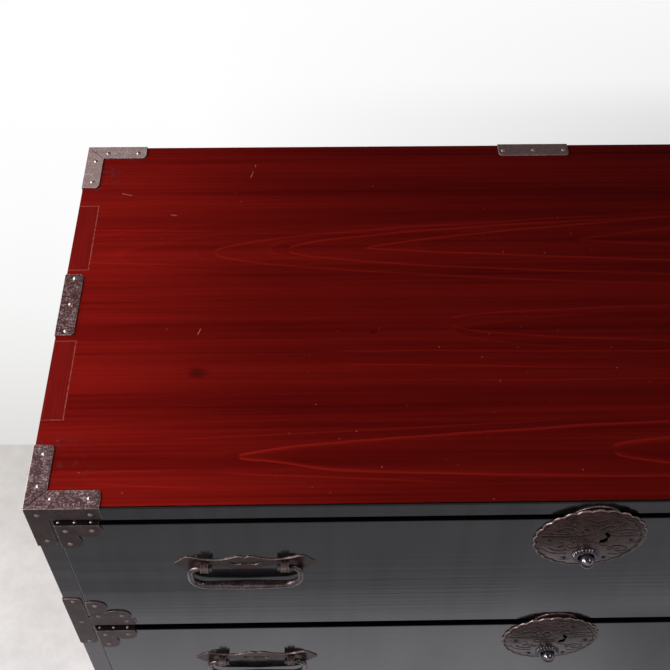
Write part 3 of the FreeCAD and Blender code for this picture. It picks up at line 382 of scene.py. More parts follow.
def scratches(g):
    """1 along each scratch of the top board."""
    spots = []
    for (x0, y0), (x1, y1) in SCRATCHES:
        length = math.hypot(x1 - x0, y1 - y0)
        run = ((x1 - x0) / length, (y1 - y0) / length)
        across, up = g.sub(g.x, x0), g.sub(g.y, y0)
        along = g.add(g.mul(across, run[0]), g.mul(up, run[1]))
        beside = g.abs(g.sub(g.mul(up, run[0]), g.mul(across, run[1])))
        spots.append(g.mul(g.step(beside, HAIRLINE, 0.0002),
                           g.step(along, 0.0, length * 0.25),
                           g.step(along, length, length * 0.6)))
    return g.mul(g.max(*spots), g.step(g.noise(g.spot, 900.0, 2.0), 0.30, 0.50))


def joint_lines(g):
    """1 along the hairlines round the fingers in the top board."""
    lines = [g.step(g.abs(g.sub(g.abs(g.x), SIDE_INNER)), HAIRLINE, 0.0003)]
    inside = []
    for front, rear in FINGERS:
        inside.append(g.mul(g.linear(g.y, front - 0.0006, front),
                            g.linear(g.y, rear + 0.0006, rear)))
        for edge in (front, rear):
            lines.append(g.step(g.abs(g.sub(g.y, edge)), HAIRLINE, 0.0003))
    beyond = g.linear(g.abs(g.x), SIDE_INNER - 0.0008, SIDE_INNER - 0.0004)
    broken = g.step(g.noise(g.spot, 260.0, 3.0, 0.6), 0.36, 0.56)
    return g.mul(g.max(*lines), g.max(*inside), beyond, g.add(0.35, g.mul(broken, 0.65)))


def wear(g, strength, scarce):
    """Sparse small scuffs and specks, from 0 to strength."""
    seeds = g.speckle(g.spot, 80.0, 0.015, 0.075)
    gate = g.step(g.noise(g.spot, 9.0, 2.0), scarce, scarce + 0.12)
    scuffs = g.noise(g.scaled(55.0, 260.0, 260.0, (3.0, 1.0, 0.0)), 1.0, 4.0, 0.8)
    return g.mul(g.max(seeds, g.mul(g.step(scuffs, 0.72, 0.80), 0.7)), gate, strength)


def black_lacquer(g):
    """Colour and roughness of the fronts, with painted shade: blackest where a face doesn't
    look forwards, as in the gaps between the parts.
    """
    streak = g.noise(g.scaled(1.2, 1.0, 140.0), 1.0, 3.0, 0.6)
    brush = g.noise(g.scaled(64.0, 1.0, 1.6), 1.0, 3.0, 0.5)
    tone = g.step(g.add(g.mul(streak, 0.45), g.mul(brush, 0.55)), 0.34, 0.66)
    black = g.mix(tone, (0.0080, 0.0076, 0.0084), (0.0235, 0.0224, 0.0246))
    # painted shade: faces that don't look forwards, such as the edges in the gaps, are near
    # black
    black = g.mix(g.step(g.facing("Y"), -0.75, -0.97), (0.0014, 0.0013, 0.0015), black)
    rough = g.add(0.03, g.mul(g.step(streak, 0.40, 0.70), 0.10), g.mul(brush, 0.05))
    return black, rough


def top_material():
    """Top board: figured red, pale scratches and joint lines, black front edge."""
    g, color, lines, streaks = red_lacquer("red_lacquer_top", "x", "y", figured=True)
    color = g.mix(g.mul(joint_lines(g), 0.42), color, (0.30, 0.100, 0.080))
    # painted light: paler where the window's light falls on it, and painted shade, darker away
    # from it
    inward = g.add(g.x, g.mul(g.step(g.y, -0.10, -0.20), -0.10))
    pale = g.add(0.78, g.mul(g.step(inward, -0.25, -0.44), 0.34),
                 g.mul(g.step(g.x, -0.42, 0.20),
                       g.blend(g.step(g.y, -0.19, 0.16), -0.02, -0.19)))
    color = g.tinted(color, g.grey(pale))
    smudges = g.mul(g.step(g.noise(g.spot, 130.0, 3.0, 0.6), 0.57, 0.66),
                    g.step(g.x, -0.395, -0.425), g.step(g.abs(g.y), 0.130, 0.165))
    color = g.mix(g.mul(smudges, 0.40), color, (0.040, 0.022, 0.026))
    scuff = g.max(wear(g, 0.60, 0.46), g.mul(scratches(g), 0.70))
    color = g.mix(scuff, color, (0.36, 0.12, 0.10))
    black, black_rough = black_lacquer(g)
    fade = g.mul(g.noise(g.scaled(60.0, 60.0, 60.0), 1.0, 2.0), 0.0008)
    front = g.linear(g.add(g.y, fade), FRONT + 0.0024, FRONT + 0.0016)
    color = g.mix(front, color, black)
    rough = g.add(0.10, g.mul(streaks, 0.06), g.mul(scuff, 0.3))
    normal = g.bump(g.add(g.mul(lines, 0.3), streaks), 0.00004, 0.4)
    return g.surface(color, g.blend(front, rough, black_rough), normal, ior=1.42)


def bare_wood(g, along, seed):
    """Colour of aged, unfinished softwood with its grain along x, y or z."""
    fine = g.noise(g.grain(along, 2.0, 190.0, seed), 1.0, 3.0, 0.6)
    broad = g.noise(g.grain(along, 1.5, 26.0, seed), 1.0, 3.0, 0.5, 0.4)
    tone = g.add(g.mul(fine, 0.5), g.mul(broad, 0.5))
    return g.mix(g.step(tone, 0.30, 0.70), (0.22, 0.135, 0.070), (0.46, 0.32, 0.19))


def side_material():
    """Side boards: grain up and down, fingers' end grain on the top, black front edge."""
    g, color, _, streaks = red_lacquer("red_lacquer_side", "z", "y")
    across = g.abs(g.x)
    end_lines = g.noise(g.scaled(700.0, 30.0, 1.0), 1.0, 3.0, 0.6, 0.6)
    end = g.mix(g.step(end_lines, 0.25, 0.80), (0.116, 0.0036, 0.0030),
                (0.156, 0.0064, 0.0046))
    end = g.mix(g.mul(joint_lines(g), 0.48), end, (0.30, 0.105, 0.085))
    on_end = g.linear(g.z, TOP - 0.0004, TOP - 0.0002)
    color = g.mix(on_end, color, end)
    # the inner face: bare behind the drawer fronts
    inner = g.math("LESS_THAN", across, SIDE_INNER - 0.0002)
    deep = g.step(g.y, FRONT + 0.020, FRONT + 0.024)
    wood = g.mix(deep, (0.006, 0.0055, 0.006), bare_wood(g, "z", 3.0))
    color = g.mix(inner, color, wood)
    # the front edge: browner than the drawers, chipped along its outer arris
    black, black_rough = black_lacquer(g)
    chips = g.mul(g.noise(g.scaled(150.0, 150.0, 150.0), 1.0, 3.0, 0.7), 0.0030)
    front = g.linear(g.add(g.y, chips), FRONT + 0.0030, FRONT + 0.0022)
    edge = g.mul(g.step(across, HALF_WIDTH - 0.0022, HALF_WIDTH - 0.0012),
                 g.step(g.noise(g.scaled(30.0, 30.0, 190.0), 1.0, 3.0, 0.7), 0.53, 0.57),
                 g.step(g.noise(g.scaled(1.0, 1.0, 9.0), 1.0, 2.0), 0.46, 0.54))
    stile = g.mix(0.6, black, (0.026, 0.013, 0.011))
    color = g.mix(front, color, g.mix(edge, stile, (0.002, 0.002, 0.002)))
    rough = g.blend(front, g.add(0.12, g.mul(streaks, 0.10)), g.add(black_rough, 0.08))
    rough = g.blend(g.mul(inner, deep), rough, 0.7)
    # painted shade: the stile's inner arris, in the gap beside the drawers, is made dark and
    # rough
    arris = g.mul(g.step(across, SIDE_INNER + 0.0014, SIDE_INNER + 0.0008),
                  g.step(g.y, FRONT + 0.004, FRONT + 0.002))
    color = g.mix(arris, color, (0.003, 0.003, 0.003))
    rough = g.blend(arris, rough, 0.55)
    return g.surface(color, rough, g.bump(streaks, 0.00012, 0.5))


def plain_material(name, along):
    """Bare wood with a few stains, inside the case and the drawers."""
    g = material_graph(name)
    color = bare_wood(g, along, float(len(name)))
    stain = g.noise(g.scaled(6.0, 6.0, 6.0), 1.0, 3.0)
    color = g.mix(g.mul(g.step(stain, 0.45, 0.75), 0.35), color, (0.13, 0.080, 0.045))
    fine = g.noise(g.scaled(60.0, 60.0, 60.0), 1.0, 4.0)
    return g.surface(color, 0.72, g.bump(fine, 0.0002, 0.4))


def front_material(name, back_limit):
    """Black lacquer in front of back_limit, bare wood behind it, red through the sides."""
    g = material_graph(name)
    black, black_rough = black_lacquer(g)
    scuff = wear(g, 0.10, 0.50)
    black = g.mix(scuff, black, (0.16, 0.15, 0.15))
    behind = g.linear(g.y, back_limit, back_limit + 0.0004)
    color = g.mix(behind, black, bare_wood(g, "x", 5.0))
    through = g.linear(g.abs(g.x), HALF_WIDTH - 0.0006, HALF_WIDTH - 0.0002)
    ends = g.noise(g.scaled(1.0, 30.0, 700.0), 1.0, 3.0, 0.6)
    color = g.mix(through, color, g.mix(ends, (0.085, 0.0026, 0.0022),
                                        (0.140, 0.0060, 0.0042)))
    rough = g.blend(behind, g.add(black_rough, g.mul(scuff, 0.3)), 0.7)
    rough = g.blend(through, rough, 0.2)
    streak = g.noise(g.scaled(2.5, 1.0, 300.0), 1.0, 3.0, 0.6)
    brush = g.noise(g.scaled(70.0, 1.0, 3.0), 1.0, 2.0)
    fine = g.bump(g.add(streak, g.mul(brush, 1.5)), 0.00014, 0.5)
    wave = g.noise(g.scaled(3.0, 3.0, 9.0), 1.0, 1.0)
    return g.surface(color, rough, g.bump(wave, 0.0009, 0.5, fine))


# ------------ iron

IRON_DARK, IRON_LIGHT = (0.026, 0.011, 0.010), (0.086, 0.046, 0.042)
LOCK_HALF, LOCK_TOP = 0.061, 0.620  # nails nearer the middle and lower are a lock plate's


def crusted(g):
    """Colour of the irons on the top: dusty and speckled, each region in its own way."""
    rear = g.step(g.y, 0.115, 0.150)
    front = g.step(g.y, -0.120, -0.165)
    centre = g.step(g.abs(g.x), 0.20, 0.10)
    under = g.mix(front, g.mix(rear, (0.052, 0.018, 0.017), (0.240, 0.165, 0.158)),
                  (0.060, 0.025, 0.025))
    flecks = g.mix(front, g.mix(rear, (0.34, 0.240, 0.245), (0.40, 0.315, 0.308)),
                   (0.34, 0.255, 0.262))
    crust = g.step(g.add(g.mul(g.noise(g.spot, 520.0, 3.0, 0.66), 0.7),
                         g.mul(g.noise(g.spot, 150.0, 2.0), 0.3)), 0.465, 0.68)
    top = g.mix(crust, under, flecks)
    top = g.mix(g.mul(centre, 0.66), top, (0.040, 0.014, 0.013))
    from_mitre = g.sub(g.sub(g.abs(g.x), HALF_WIDTH), g.sub(g.abs(g.y), REAR))
    mitre = g.step(g.abs(from_mitre), 0.0009, 0.0004)
    return g.mix(g.mul(mitre, 0.75), top, (0.020, 0.008, 0.008))


def iron_material(name, dark=IRON_DARK, light=IRON_LIGHT, rough=0.34, pits=1.0,
                  metallic=0.18, coat=0.0, etched=0.0, sky_sheen=0.0, topped=None):
    """Patinated iron; etched: dark lines, sky_sheen: upper sides painted paler and bluer as a
    painted reflection, topped: colour on top.
    """
    g = material_graph(name)
    pit = g.noise(g.spot, 560.0, 4.0, 0.68)
    patch = g.noise(g.spot, 95.0, 3.0, 0.6)
    rust = g.noise(g.spot, 34.0, 2.0, 0.5)
    tone = g.add(g.mul(pit, 0.35), g.mul(patch, 0.40), g.mul(rust, 0.25))
    color = g.mix(g.step(tone, 0.36, 0.66), dark, light)
    color = g.mix(g.mul(g.step(rust, 0.48, 0.68), 0.30), color, (0.062, 0.022, 0.016))
    if etched:
        swirl = g.abs(g.sub(g.noise(g.spot, 150.0, 2.0, 0.5, 1.5), 0.5))
        color = g.mix(g.mul(g.step(swirl, 0.034, 0.006), etched), color,
                      (0.012, 0.006, 0.006))
    if sky_sheen:
        # painted reflection: upward faces are painted paler and bluer, like a mirrored pale
        # sky
        color = g.mix(g.mul(g.step(g.facing("Z"), 0.10, 0.90), sky_sheen), color,
                      (0.42, 0.42, 0.49))
    shine = g.add(rough, g.mul(g.sub(pit, 0.5), 0.25))
    if topped:
        upward = g.step(g.facing("Z"), 0.55, 0.85)
        shine = g.add(shine, g.mul(upward, 0.10))
        color = g.mix(upward, color, topped(g))
    normal = g.bump(g.add(g.mul(pit, 0.6), g.mul(patch, 0.6)), 0.00022 * pits, 0.50)
    return g.surface(color, shine, normal, metallic=metallic, ior=1.27, coat=coat)


def flap_painted_shade(_):
    """Painted shade: the tops of the drawer irons' flaps, in the dark gap over the drawer,
    made near black.
    """
    return 0.010, 0.007, 0.007


def nail_material():
    """Domed nails, burnished on the irons and dark on the lock plates."""
    g = material_graph("nail_iron")
    tone = g.step(g.noise(g.spot, 600.0, 2.0), 0.35, 0.65)
    color = g.mix(tone, (0.24, 0.155, 0.150), (0.46, 0.340, 0.330))
    on_lock = g.mul(g.step(g.abs(g.x), LOCK_HALF + 0.001, LOCK_HALF - 0.001),
                    g.step(g.z, LOCK_TOP + 0.002, LOCK_TOP - 0.002))
    color = g.mix(on_lock, color, (0.050, 0.034, 0.033))
    return g.surface(color, 0.30, g.bump(tone, 0.00006, 0.3), metallic=0.70)


# ------------ dressed CAD nodes

PLATE_THICKNESS, SLOT_DEPTH = 1.0, 0.7  # of the handle plates and their slots, in mm
PLATE_FACE = DRAWER_FACE / MM - PLATE_THICKNESS
HANDLE_X = 287.0  # from the middle of the drawer to that of each handle, in mm
EDGE_WIDTH, PLATE_EDGE_WIDTH = 0.0003, 0.00042  # of the rounded edges
MITRE_WIDTH, MITRE_DEPTH, MITRE_REACH = 0.0007, 0.00027, 0.06
# the slot cut in the middle of a handle plate, the right half of its outline, in mm
SLOT_HALF = ((0.0, 0.9), (4.0, 0.7), (8.0, 1.1), (10.8, 2.3), (12.8, 2.5), (14.0, 1.5),
             (13.8, 0.4), (12.0, -1.0), (9.0, -2.0), (5.0, -2.5), (0.0, -2.3))


def height_of(node):
    """Height of the middle of a CAD node."""
    low, high = box_of(node)
    return (low[2] + high[2]) / 2


def loose(mesh, name):
    """An object made of a bmesh, in the scene but on no body."""
    data = bpy.data.meshes.new(name)
    mesh.to_mesh(data)
    mesh.free()
    item = bpy.data.objects.new(name, data)
    scene.collection.objects.link(item)
    return item


def finished(mesh, name, body, slot, *materials, nodes=()):
    """Makes a piece of a bmesh, which rides on a body and stands for the nodes."""
    piece = loose(mesh, name)
    for material in materials:
        piece.data.materials.append(material)
    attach(piece, body)
    if nodes:
        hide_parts(*nodes)
    return piece


def welded(node):
    """A bmesh of a CAD node with its vertices joined and its flat faces whole."""
    mesh = bmesh.new()
    mesh.from_mesh(NODES[node].data)
    bmesh.ops.remove_doubles(mesh, verts=mesh.verts, dist=1e-6)
    bmesh.ops.dissolve_limit(mesh, angle_limit=math.radians(1), verts=mesh.verts,
                             edges=mesh.edges)
    for face in mesh.faces:
        face.smooth = False
        face.material_index = 0
    return mesh


def prism(outline, low, high):
    """A closed prism along Y over an outline in the XZ plane, in millimetres."""
    mesh = bmesh.new()
    near, far = ([mesh.verts.new((x * MM, y * MM, z * MM)) for x, z in outline]
                 for y in (low, high))
    mesh.faces.new(near)
    mesh.faces.new(list(reversed(far)))
    for index in range(len(outline)):
        after = (index + 1) % len(outline)
        mesh.faces.new((near[after], near[index], far[index], far[after]))
    bmesh.ops.recalc_face_normals(mesh, faces=mesh.faces)
    return mesh


def pierced(item, cutters):
    """Mesh data of an object less its cutters; the objects are thrown away."""
    tools = [loose(cutter, "cutter_work") for cutter in cutters]
    for tool in tools:
        hole = item.modifiers.new("hole", "BOOLEAN")
        hole.operation = "DIFFERENCE"
        hole.solver = "EXACT"
        hole.object = tool
    bpy.context.view_layer.update()
    shaped = item.evaluated_get(bpy.context.evaluated_depsgraph_get())
    data = bpy.data.meshes.new_from_object(shaped)
    for thing in [item, *tools]:
        bpy.data.objects.remove(thing)
    return data


def slotted(mesh, name, cutters):
    """A bmesh less its cutters, with painted shade on the floors of the slots they leave."""
    data = pierced(loose(mesh, name), cutters)
    mesh = bmesh.new()
    mesh.from_mesh(data)
    bpy.data.meshes.remove(data)
    floor = (PLATE_FACE + SLOT_DEPTH) * MM
    for face in mesh.faces:
        if face.normal.y < -0.9 and abs(face.calc_center_median().y - floor) < 1e-5:
            # painted shade: the slot's floor gets the near-black material
            face.material_index = 2
    return mesh


def handle_slots(level):
    """Cutters for the slots engraved in the two handle plates of a drawer."""
    outline = list(SLOT_HALF) + [(-x, z) for x, z in SLOT_HALF[-2:0:-1]]
    middle = height_of(level + "_handle_plates") / MM
    return [prism([(side * HANDLE_X + x, middle + z) for x, z in outline],
                  PLATE_FACE - 1, PLATE_FACE + SLOT_DEPTH) for side in (-1, 1)]


def rub_and_highlight_rim(mesh):
    """Worn iron, painted paler as a highlight, on the thin faces round a plate."""
    for face in mesh.faces:
        face.material_index = int(abs(face.normal.y) < 0.5)


def crease(mesh):
    """Presses the mitre line into the top of each corner iron."""
    for across in (-1, 1):
        for back in (-1, 1):
            corner = Vector((across * HALF_WIDTH, back * REAR, TOP))
            normal = Vector((across, -back, 0)).normalized()
            for offset in (-MITRE_WIDTH, 0, MITRE_WIDTH):
                near = [face for face in mesh.faces if face.normal.z > 0.9
                        and (face.calc_center_median() - corner).length < MITRE_REACH]
                parts = near + list({e for f in near for e in f.edges}) \
                    + list({v for f in near for v in f.verts})
                bmesh.ops.bisect_plane(mesh, geom=parts, dist=1e-6, plane_no=normal,
                                       plane_co=corner + offset * normal)
            for vert in mesh.verts:
                away = vert.co - corner
                if (vert.co.z > TOP + 0.0005 and away.length < MITRE_REACH
                        and abs(away.dot(normal)) < 1e-5):
                    vert.co.z -= MITRE_DEPTH


def dressed(node, body, material, width=EDGE_WIDTH, change=None, cutters=()):
    """A copy of a CAD node with small rounded edges of worn iron, painted paler as a
    highlight; it stands for the nodes.
    """
    mesh = welded(node)
    if change:
        change(mesh)
    if cutters:
        mesh = slotted(mesh, node + "_work", cutters)
    piece = finished(mesh, node + "_dressed", body, "dark_iron", material, RUBBED_HIGHLIT, RECESS_SHADE,
                     nodes=[node])
    bevel = piece.modifiers.new("edges", "BEVEL")
    bevel.width = width
    bevel.segments = 2
    bevel.limit_method = "ANGLE"
    bevel.angle_limit = math.radians(45)
    # the rounded edges get the worn iron that is painted paler as a highlight
    bevel.material = 1


def assign(material, *nodes):
    """Gives CAD nodes their material."""
    for node in nodes:
        data = NODES[node].data
        for index in range(len(data.materials)):
            data.materials[index] = material
        if not data.materials:
            data.materials.append(material)


# ------------ lock plates, in mm

PLATE_RADIUS, PLATE_NOTCH, LOBES = 47.0, 1.6, 24
SPHERE, DOME_RIM, SKIN = 232.9, 48.0, 1.0
# rings of the plate's front and back, as shares of the way from its centre to its edge
FRONT_RINGS = (0.012, *np.linspace(0.02, 0.86, 45)[1:], *np.linspace(0.86, 1.0, 21)[1:])
BACK_RINGS = (1.0, 0.7, 0.35, 0.012)
RIM_FALL, RIM_STEPS = 0.35, 3  # the last ring's fall; the steps of worn iron at the rim, painted paler as a highlight
COLLAR_DROP, COLLAR_BORE, BORE_SIDES = 21.5, 6.9, 48
# the collar's profile: radius, depth along Y and how much of the flutes shows there
COLLAR = ((11.5, -2.4, 0.0), (11.7, -4.0, 0.25), (11.6, -5.2, 0.6), (11.2, -6.2, 0.9),
          (10.6, -7.0, 1.0), (9.9, -7.6, 0.9), (9.2, -8.0, 0.6), (8.6, -8.2, 0.2),
          (8.1, -8.2, 0.0), (7.5, -8.0, 0.0), (7.1, -7.5, 0.0), (6.8, -6.6, 0.0),
          (6.8, -2.4, 0.0))
FLUTES, FLUTE_DEPTH, FLUTE_POWER, FLUTE_MIDDLE = 22, 0.8, 0.8, 0.75
NAIL_RING, PLATE_NAILS = 34.0, 6
KEY_CENTRE = (11.0, 9.5)
KEYHOLE = ((-2.2, 6.4), (-1.5, 8.3), (-0.5, 8.2), (3.6, 3.4), (2.7, 0.2), (1.9, -0.9),
           (2.2, -5.6), (0.2, -8.2), (-3.9, -8.6), (-4.9, -6.4), (-4.4, -3.4), (-1.7, -1.9),
           (0.8, 0.6), (-0.6, 3.4))
# half the width and the depth: three kinds of stroke, the line of the eye and the flat
# round each nail, the groove along the rim and the lip beside it, which rises
BROAD, MIDDLE, FINE = (0.60, 0.578), (0.54, 0.510), (0.48, 0.442)
EYE_LINE, NAIL_FLAT, GROOVE, LIP = (0.42, 0.30), (2.5, 0.45), (0.5, 0.55), (0.45, 0.22)
EYE_LONG, EYE_HIGH, EYE_POWER = 5.2, 3.5, 0.35
GROOVE_IN, GROOVE_SHIFT, LIP_IN = 3.7, 1.3, 1.0  # from the rim, and that from the groove
ROLL_HALF, ROLL_RISE = 1.9, 0.30  # of the rounded border outside the groove
# drifting cloud and water lines: the kind of each stroke and its points
STROKES = (
    (BROAD, ((-40.5, 7.6), (-32, 9.2), (-23, 10.6), (-14, 11.6), (-7, 13.4), (-3.2, 17.5),
             (-3.4, 21.4), (-7.0, 23.2), (-10.2, 20.6), (-8.4, 17.8))),
    (MIDDLE, ((-17.7, 7.3), (-13.6, 8.9), (-8.5, 8.6), (-3.4, 8.1), (0.6, 9.4),
              (3.4, 12.2))),
    (FINE, ((-11.8, 5.9), (-6.6, 4.9), (-0.6, 6.8), (4.3, 7.2))),
    (FINE, ((-9.7, 0.8), (-7.0, 3.6), (-1.4, 4.3), (4.2, 3.7), (9.5, -2.0), (16.0, -4.5))),
    (BROAD, ((-16.2, 9.3), (-16.7, 6.8), (-14.5, 3.1), (-10.5, 2.1), (-8.5, -1.8),
             (-10.4, -6.2), (-15.0, -7.4), (-18.6, -4.6), (-18.2, 0.6))),
    (BROAD, ((-24.0, 2.4), (-22.0, -0.4), (-22.1, -4.4), (-25.6, -7.2))),
    (FINE, ((15.6, 12.9), (21.0, 11.3), (27.5, 10.6), (37.5, 9.2))),
    (BROAD, ((15.3, -8.8), (19.7, -5.6), (26.3, -6.4), (32.2, -11.0), (31.0, -16.1),
             (26.2, -16.8), (22.8, -13.2), (25.8, -10.8))),
    (FINE, ((16.6, -12.6), (19.6, -10.6), (22.4, -10.4))),
    (BROAD, ((-32.0, -10.0), (-27.6, -13.2), (-22.0, -13.6), (-18.0, -10.6),
             (-19.6, -7.6))),
    (MIDDLE, ((-38.0, -11.0), (-33.0, -17.0), (-26.0, -19.4), (-17.0, -17.6))),
    (MIDDLE, ((-30.5, 17.6), (-25.0, 22.4), (-18.4, 22.6), (-15.2, 18.4), (-18.6, 15.2),
              (-22.2, 17.6))),
    (FINE, ((-36.0, 13.6), (-30.0, 13.4), (-22.0, 14.4), (-13.5, 14.6))),
    (MIDDLE, ((4.6, 22.4), (9.6, 26.4), (15.6, 25.2), (17.0, 20.6), (13.0, 18.8),
              (10.6, 21.6))),
    (FINE, ((17.2, 18.2), (24.0, 20.6), (31.0, 18.6), (37.0, 16.4))),
    (FINE, ((20.4, 15.4), (26.0, 15.2), (32.0, 13.8))),
    (FINE, ((-8.0, 36.4), (-2.6, 33.2), (4.0, 33.4), (9.4, 36.6))),
    (FINE, ((-4.6, 29.6), (0.4, 27.8), (5.4, 29.8))),
    (MIDDLE, ((18.6, -19.6), (25.0, -22.6), (31.0, -21.4), (35.6, -16.0))),
)


def turns(count):
    """Angles evenly spread over a whole turn."""
    return [math.tau * index / count for index in range(count)]


def polar(radius, turn):
    return radius * math.cos(turn), radius * math.sin(turn)


def lobe_reach(angle):
    """Distance from the plate's centre to its lobed edge."""
    step = math.tau / LOBES
    off = (angle + step / 2) % step - step / 2
    low = PLATE_RADIUS - PLATE_NOTCH
    half, rise = low * math.sin(step / 2), PLATE_RADIUS - low * math.cos(step / 2)
    bow = (half * half + rise * rise) / (2 * rise)
    middle = PLATE_RADIUS - bow
    return middle * math.cos(off) + math.sqrt(bow ** 2 - (middle * math.sin(off)) ** 2)


def dome_rise(radius):
    """How far the dome stands out at a radius, from its rim."""
    return math.sqrt(SPHERE ** 2 - radius ** 2) - math.sqrt(SPHERE ** 2 - DOME_RIM ** 2)


def smooth_line(points, steps=6):
    """A line that runs smoothly through the points."""
    ends = [points[0], *points, points[-1]]
    line = []
    for index in range(len(points) - 1):
        a, b, c, d = (np.array(p) for p in ends[index:index + 4])
        for step in range(steps):
            t = step / steps
            line.append(0.5 * (2 * b + (c - a) * t + (2 * a - 5 * b + 4 * c - d) * t ** 2
                               + (3 * b - a - 3 * c + d) * t ** 3))
    line.append(np.array(points[-1]))
    return line


def away_from(spots, line):
    """Distance of each spot from a line of points."""
    nearest = np.full(len(spots), 1e9)
    for a, b in zip(line, line[1:]):
        run = b - a
        share = np.clip(((spots - a) @ run) / (run @ run), 0, 1)
        nearest = np.minimum(nearest, np.linalg.norm(spots - a - share[:, None] * run, axis=1))
    return nearest


def dent(away, kind, power=2):
    """Depth of a rounded dent at each distance from its middle."""
    half_width, depth = kind
    return depth * np.exp(-(away / half_width) ** power)


def engraved(spots, inset):
    """How deep the engraving is at each spot; inset is the spot's distance from the rim."""
    depths = [dent(away_from(spots, smooth_line(points)), kind) for kind, points in STROKES]
    for turn in turns(PLATE_NAILS):
        centre = np.array(polar(NAIL_RING, turn))
        eye = [centre + (EYE_LONG * math.cos(t),
                         EYE_HIGH * math.sin(t) * abs(math.sin(t)) ** EYE_POWER)
               for t in np.linspace(0, math.tau, 33)]
        depths.append(dent(away_from(spots, eye), EYE_LINE))
        depths.append(dent(np.linalg.norm(spots - centre, axis=1), NAIL_FLAT, power=6))
    around = np.arctan2(spots[:, 1], spots[:, 0])
    band = inset - (GROOVE_IN + GROOVE_SHIFT * np.cos(around))
    depths.append(dent(band, GROOVE))
    depth = np.maximum.reduce(depths)
    over = np.clip(1 - np.abs(band + ROLL_HALF) / ROLL_HALF, 0, 1)
    roll = ROLL_RISE * over ** 0.5 * (band < 0)
    return depth - np.where(depth < 0.1, dent(band - LIP_IN, LIP) + roll, 0)


def bridge(mesh, rings, rubbed_highlit=()):
    """Faces between each ring of vertices and the next; worn iron, painted paler as a
    highlight, on the steps given.
    """
    for step, (inner, outer) in enumerate(zip(rings, rings[1:])):
        for count in range(len(inner)):
            after = (count + 1) % len(inner)
            face = mesh.faces.new((inner[count], inner[after], outer[after], outer[count]))
            face.material_index = int(step in rubbed_highlit)


def lock_plate_mesh():
    """The lobed, engraved dome about its own centre, in metres, before its holes."""
    circle = [(turn, lobe_reach(turn)) for turn in turns(LOBES * 16)]
    spots, inset, back = [], [], []
    for share in FRONT_RINGS:
        for turn, reach in circle:
            radius = share * reach
            spots.append(polar(radius, turn))
            inset.append(reach - radius)
    cut = engraved(np.array(spots), np.array(inset))
    cut[-len(circle):] += RIM_FALL
    front = [(x, -SKIN - dome_rise(math.hypot(x, z)) + depth, z)
             for (x, z), depth in zip(spots, cut)]
    for share in BACK_RINGS:
        for turn, reach in circle:
            x, z = polar(share * reach, turn)
            back.append((x, -dome_rise(share * reach), z))
    mesh = bmesh.new()
    verts = [mesh.verts.new((x * MM, y * MM, z * MM)) for x, y, z in front + back]
    rings = [verts[first:first + len(circle)] for first in range(0, len(verts), len(circle))]
    bridge(mesh, rings, range(len(FRONT_RINGS) - RIM_STEPS, len(FRONT_RINGS)))
    mesh.faces.new(list(reversed(rings[0])))
    mesh.faces.new(rings[-1])
    bmesh.ops.recalc_face_normals(mesh, faces=mesh.faces)
    return mesh


def pierced_plate():
    """Mesh data of the engraved plate with its keyhole and the hole for the button."""
    key = [(KEY_CENTRE[0] + x, KEY_CENTRE[1] + z) for x, z in KEYHOLE]
    bore = [(x, z - COLLAR_DROP) for x, z in
            (polar(COLLAR_BORE, turn) for turn in turns(BORE_SIDES))]
    return pierced(loose(lock_plate_mesh(), "plate_work"),
                   [prism(shape, -9, 2) for shape in (key, bore)])


def collar_mesh():
    """The fluted collar round the button, about the plate's centre."""
    mesh = bmesh.new()
    rings = []
    for radius, y, flute in COLLAR:
        row = []
        for turn in turns(FLUTES * 10):
            wave = abs(math.cos(FLUTES * turn / 2)) ** FLUTE_POWER - FLUTE_MIDDLE
            swell = FLUTE_DEPTH * (flute * wave)
            x, z = polar(radius + swell, turn)
            row.append(mesh.verts.new((x * MM, (y - swell) * MM, (z - COLLAR_DROP) * MM)))
        rings.append(row)
    bridge(mesh, rings + rings[:1])
    bmesh.ops.recalc_face_normals(mesh, faces=mesh.faces)
    return mesh


def add_locks():
    """An engraved plate and a fluted collar on each drawer, over its CAD lock plate."""
    plate_data = pierced_plate()
    for level in LEVELS:
        node = level + "_lock_plate"
        place = Vector((0, DRAWER_FACE, height_of(node)))
        plate = bmesh.new()
        plate.from_mesh(plate_data)
        for name, mesh, material, nodes in (("plate", plate, PLATE_IRON, [node]),
                                            ("collar", collar_mesh(), COLLAR_IRON, [])):
            bmesh.ops.translate(mesh, verts=mesh.verts, vec=place)
            for face in mesh.faces:
                face.smooth = True
            piece = finished(mesh, f"{level}_lock_{name}_engraved", level + "_drawer",
                             "dark_iron", material, RIM_IRON, nodes=nodes)
            piece.data.set_sharp_from_angle(angle=math.radians(40))
    bpy.data.meshes.remove(plate_data)


def add_springs():
    """Leaf springs, copied from their CAD nodes onto their drawers; in the real lock they
    flatten against their lock case's top as the bolt lifts.
    """
    for level in LEVELS:
        node = level + "_lock_spring"
        piece = finished(welded(node), node + "_leaf", level + "_drawer", "lock_iron",
                         LOCK_STEEL, nodes=[node])
        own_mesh(piece)


# ------------ stage and light

FLOOR_HALF, FLOOR_Z = 9.0, -0.0005
WALL_Y = 0.257  # the floor behind this line is seen as the wall behind the chest


def floor_color(g, tone):
    """Mottled pale floor, warmer behind the front of the chest and, as painted shade, dimmer
    towards the wall.
    """
    color = g.mix(tone, (0.63, 0.624, 0.615), (0.79, 0.785, 0.780))
    color = g.mix(g.step(g.y, -0.20, 0.25), color, g.tinted(color, (1.0, 0.975, 0.945)))
    # painted shade: the floor darkens towards the wall behind the chest
    return g.tinted(color, g.grey(g.blend(g.step(g.y, 0.25, -0.15), 0.80, 1.0)))


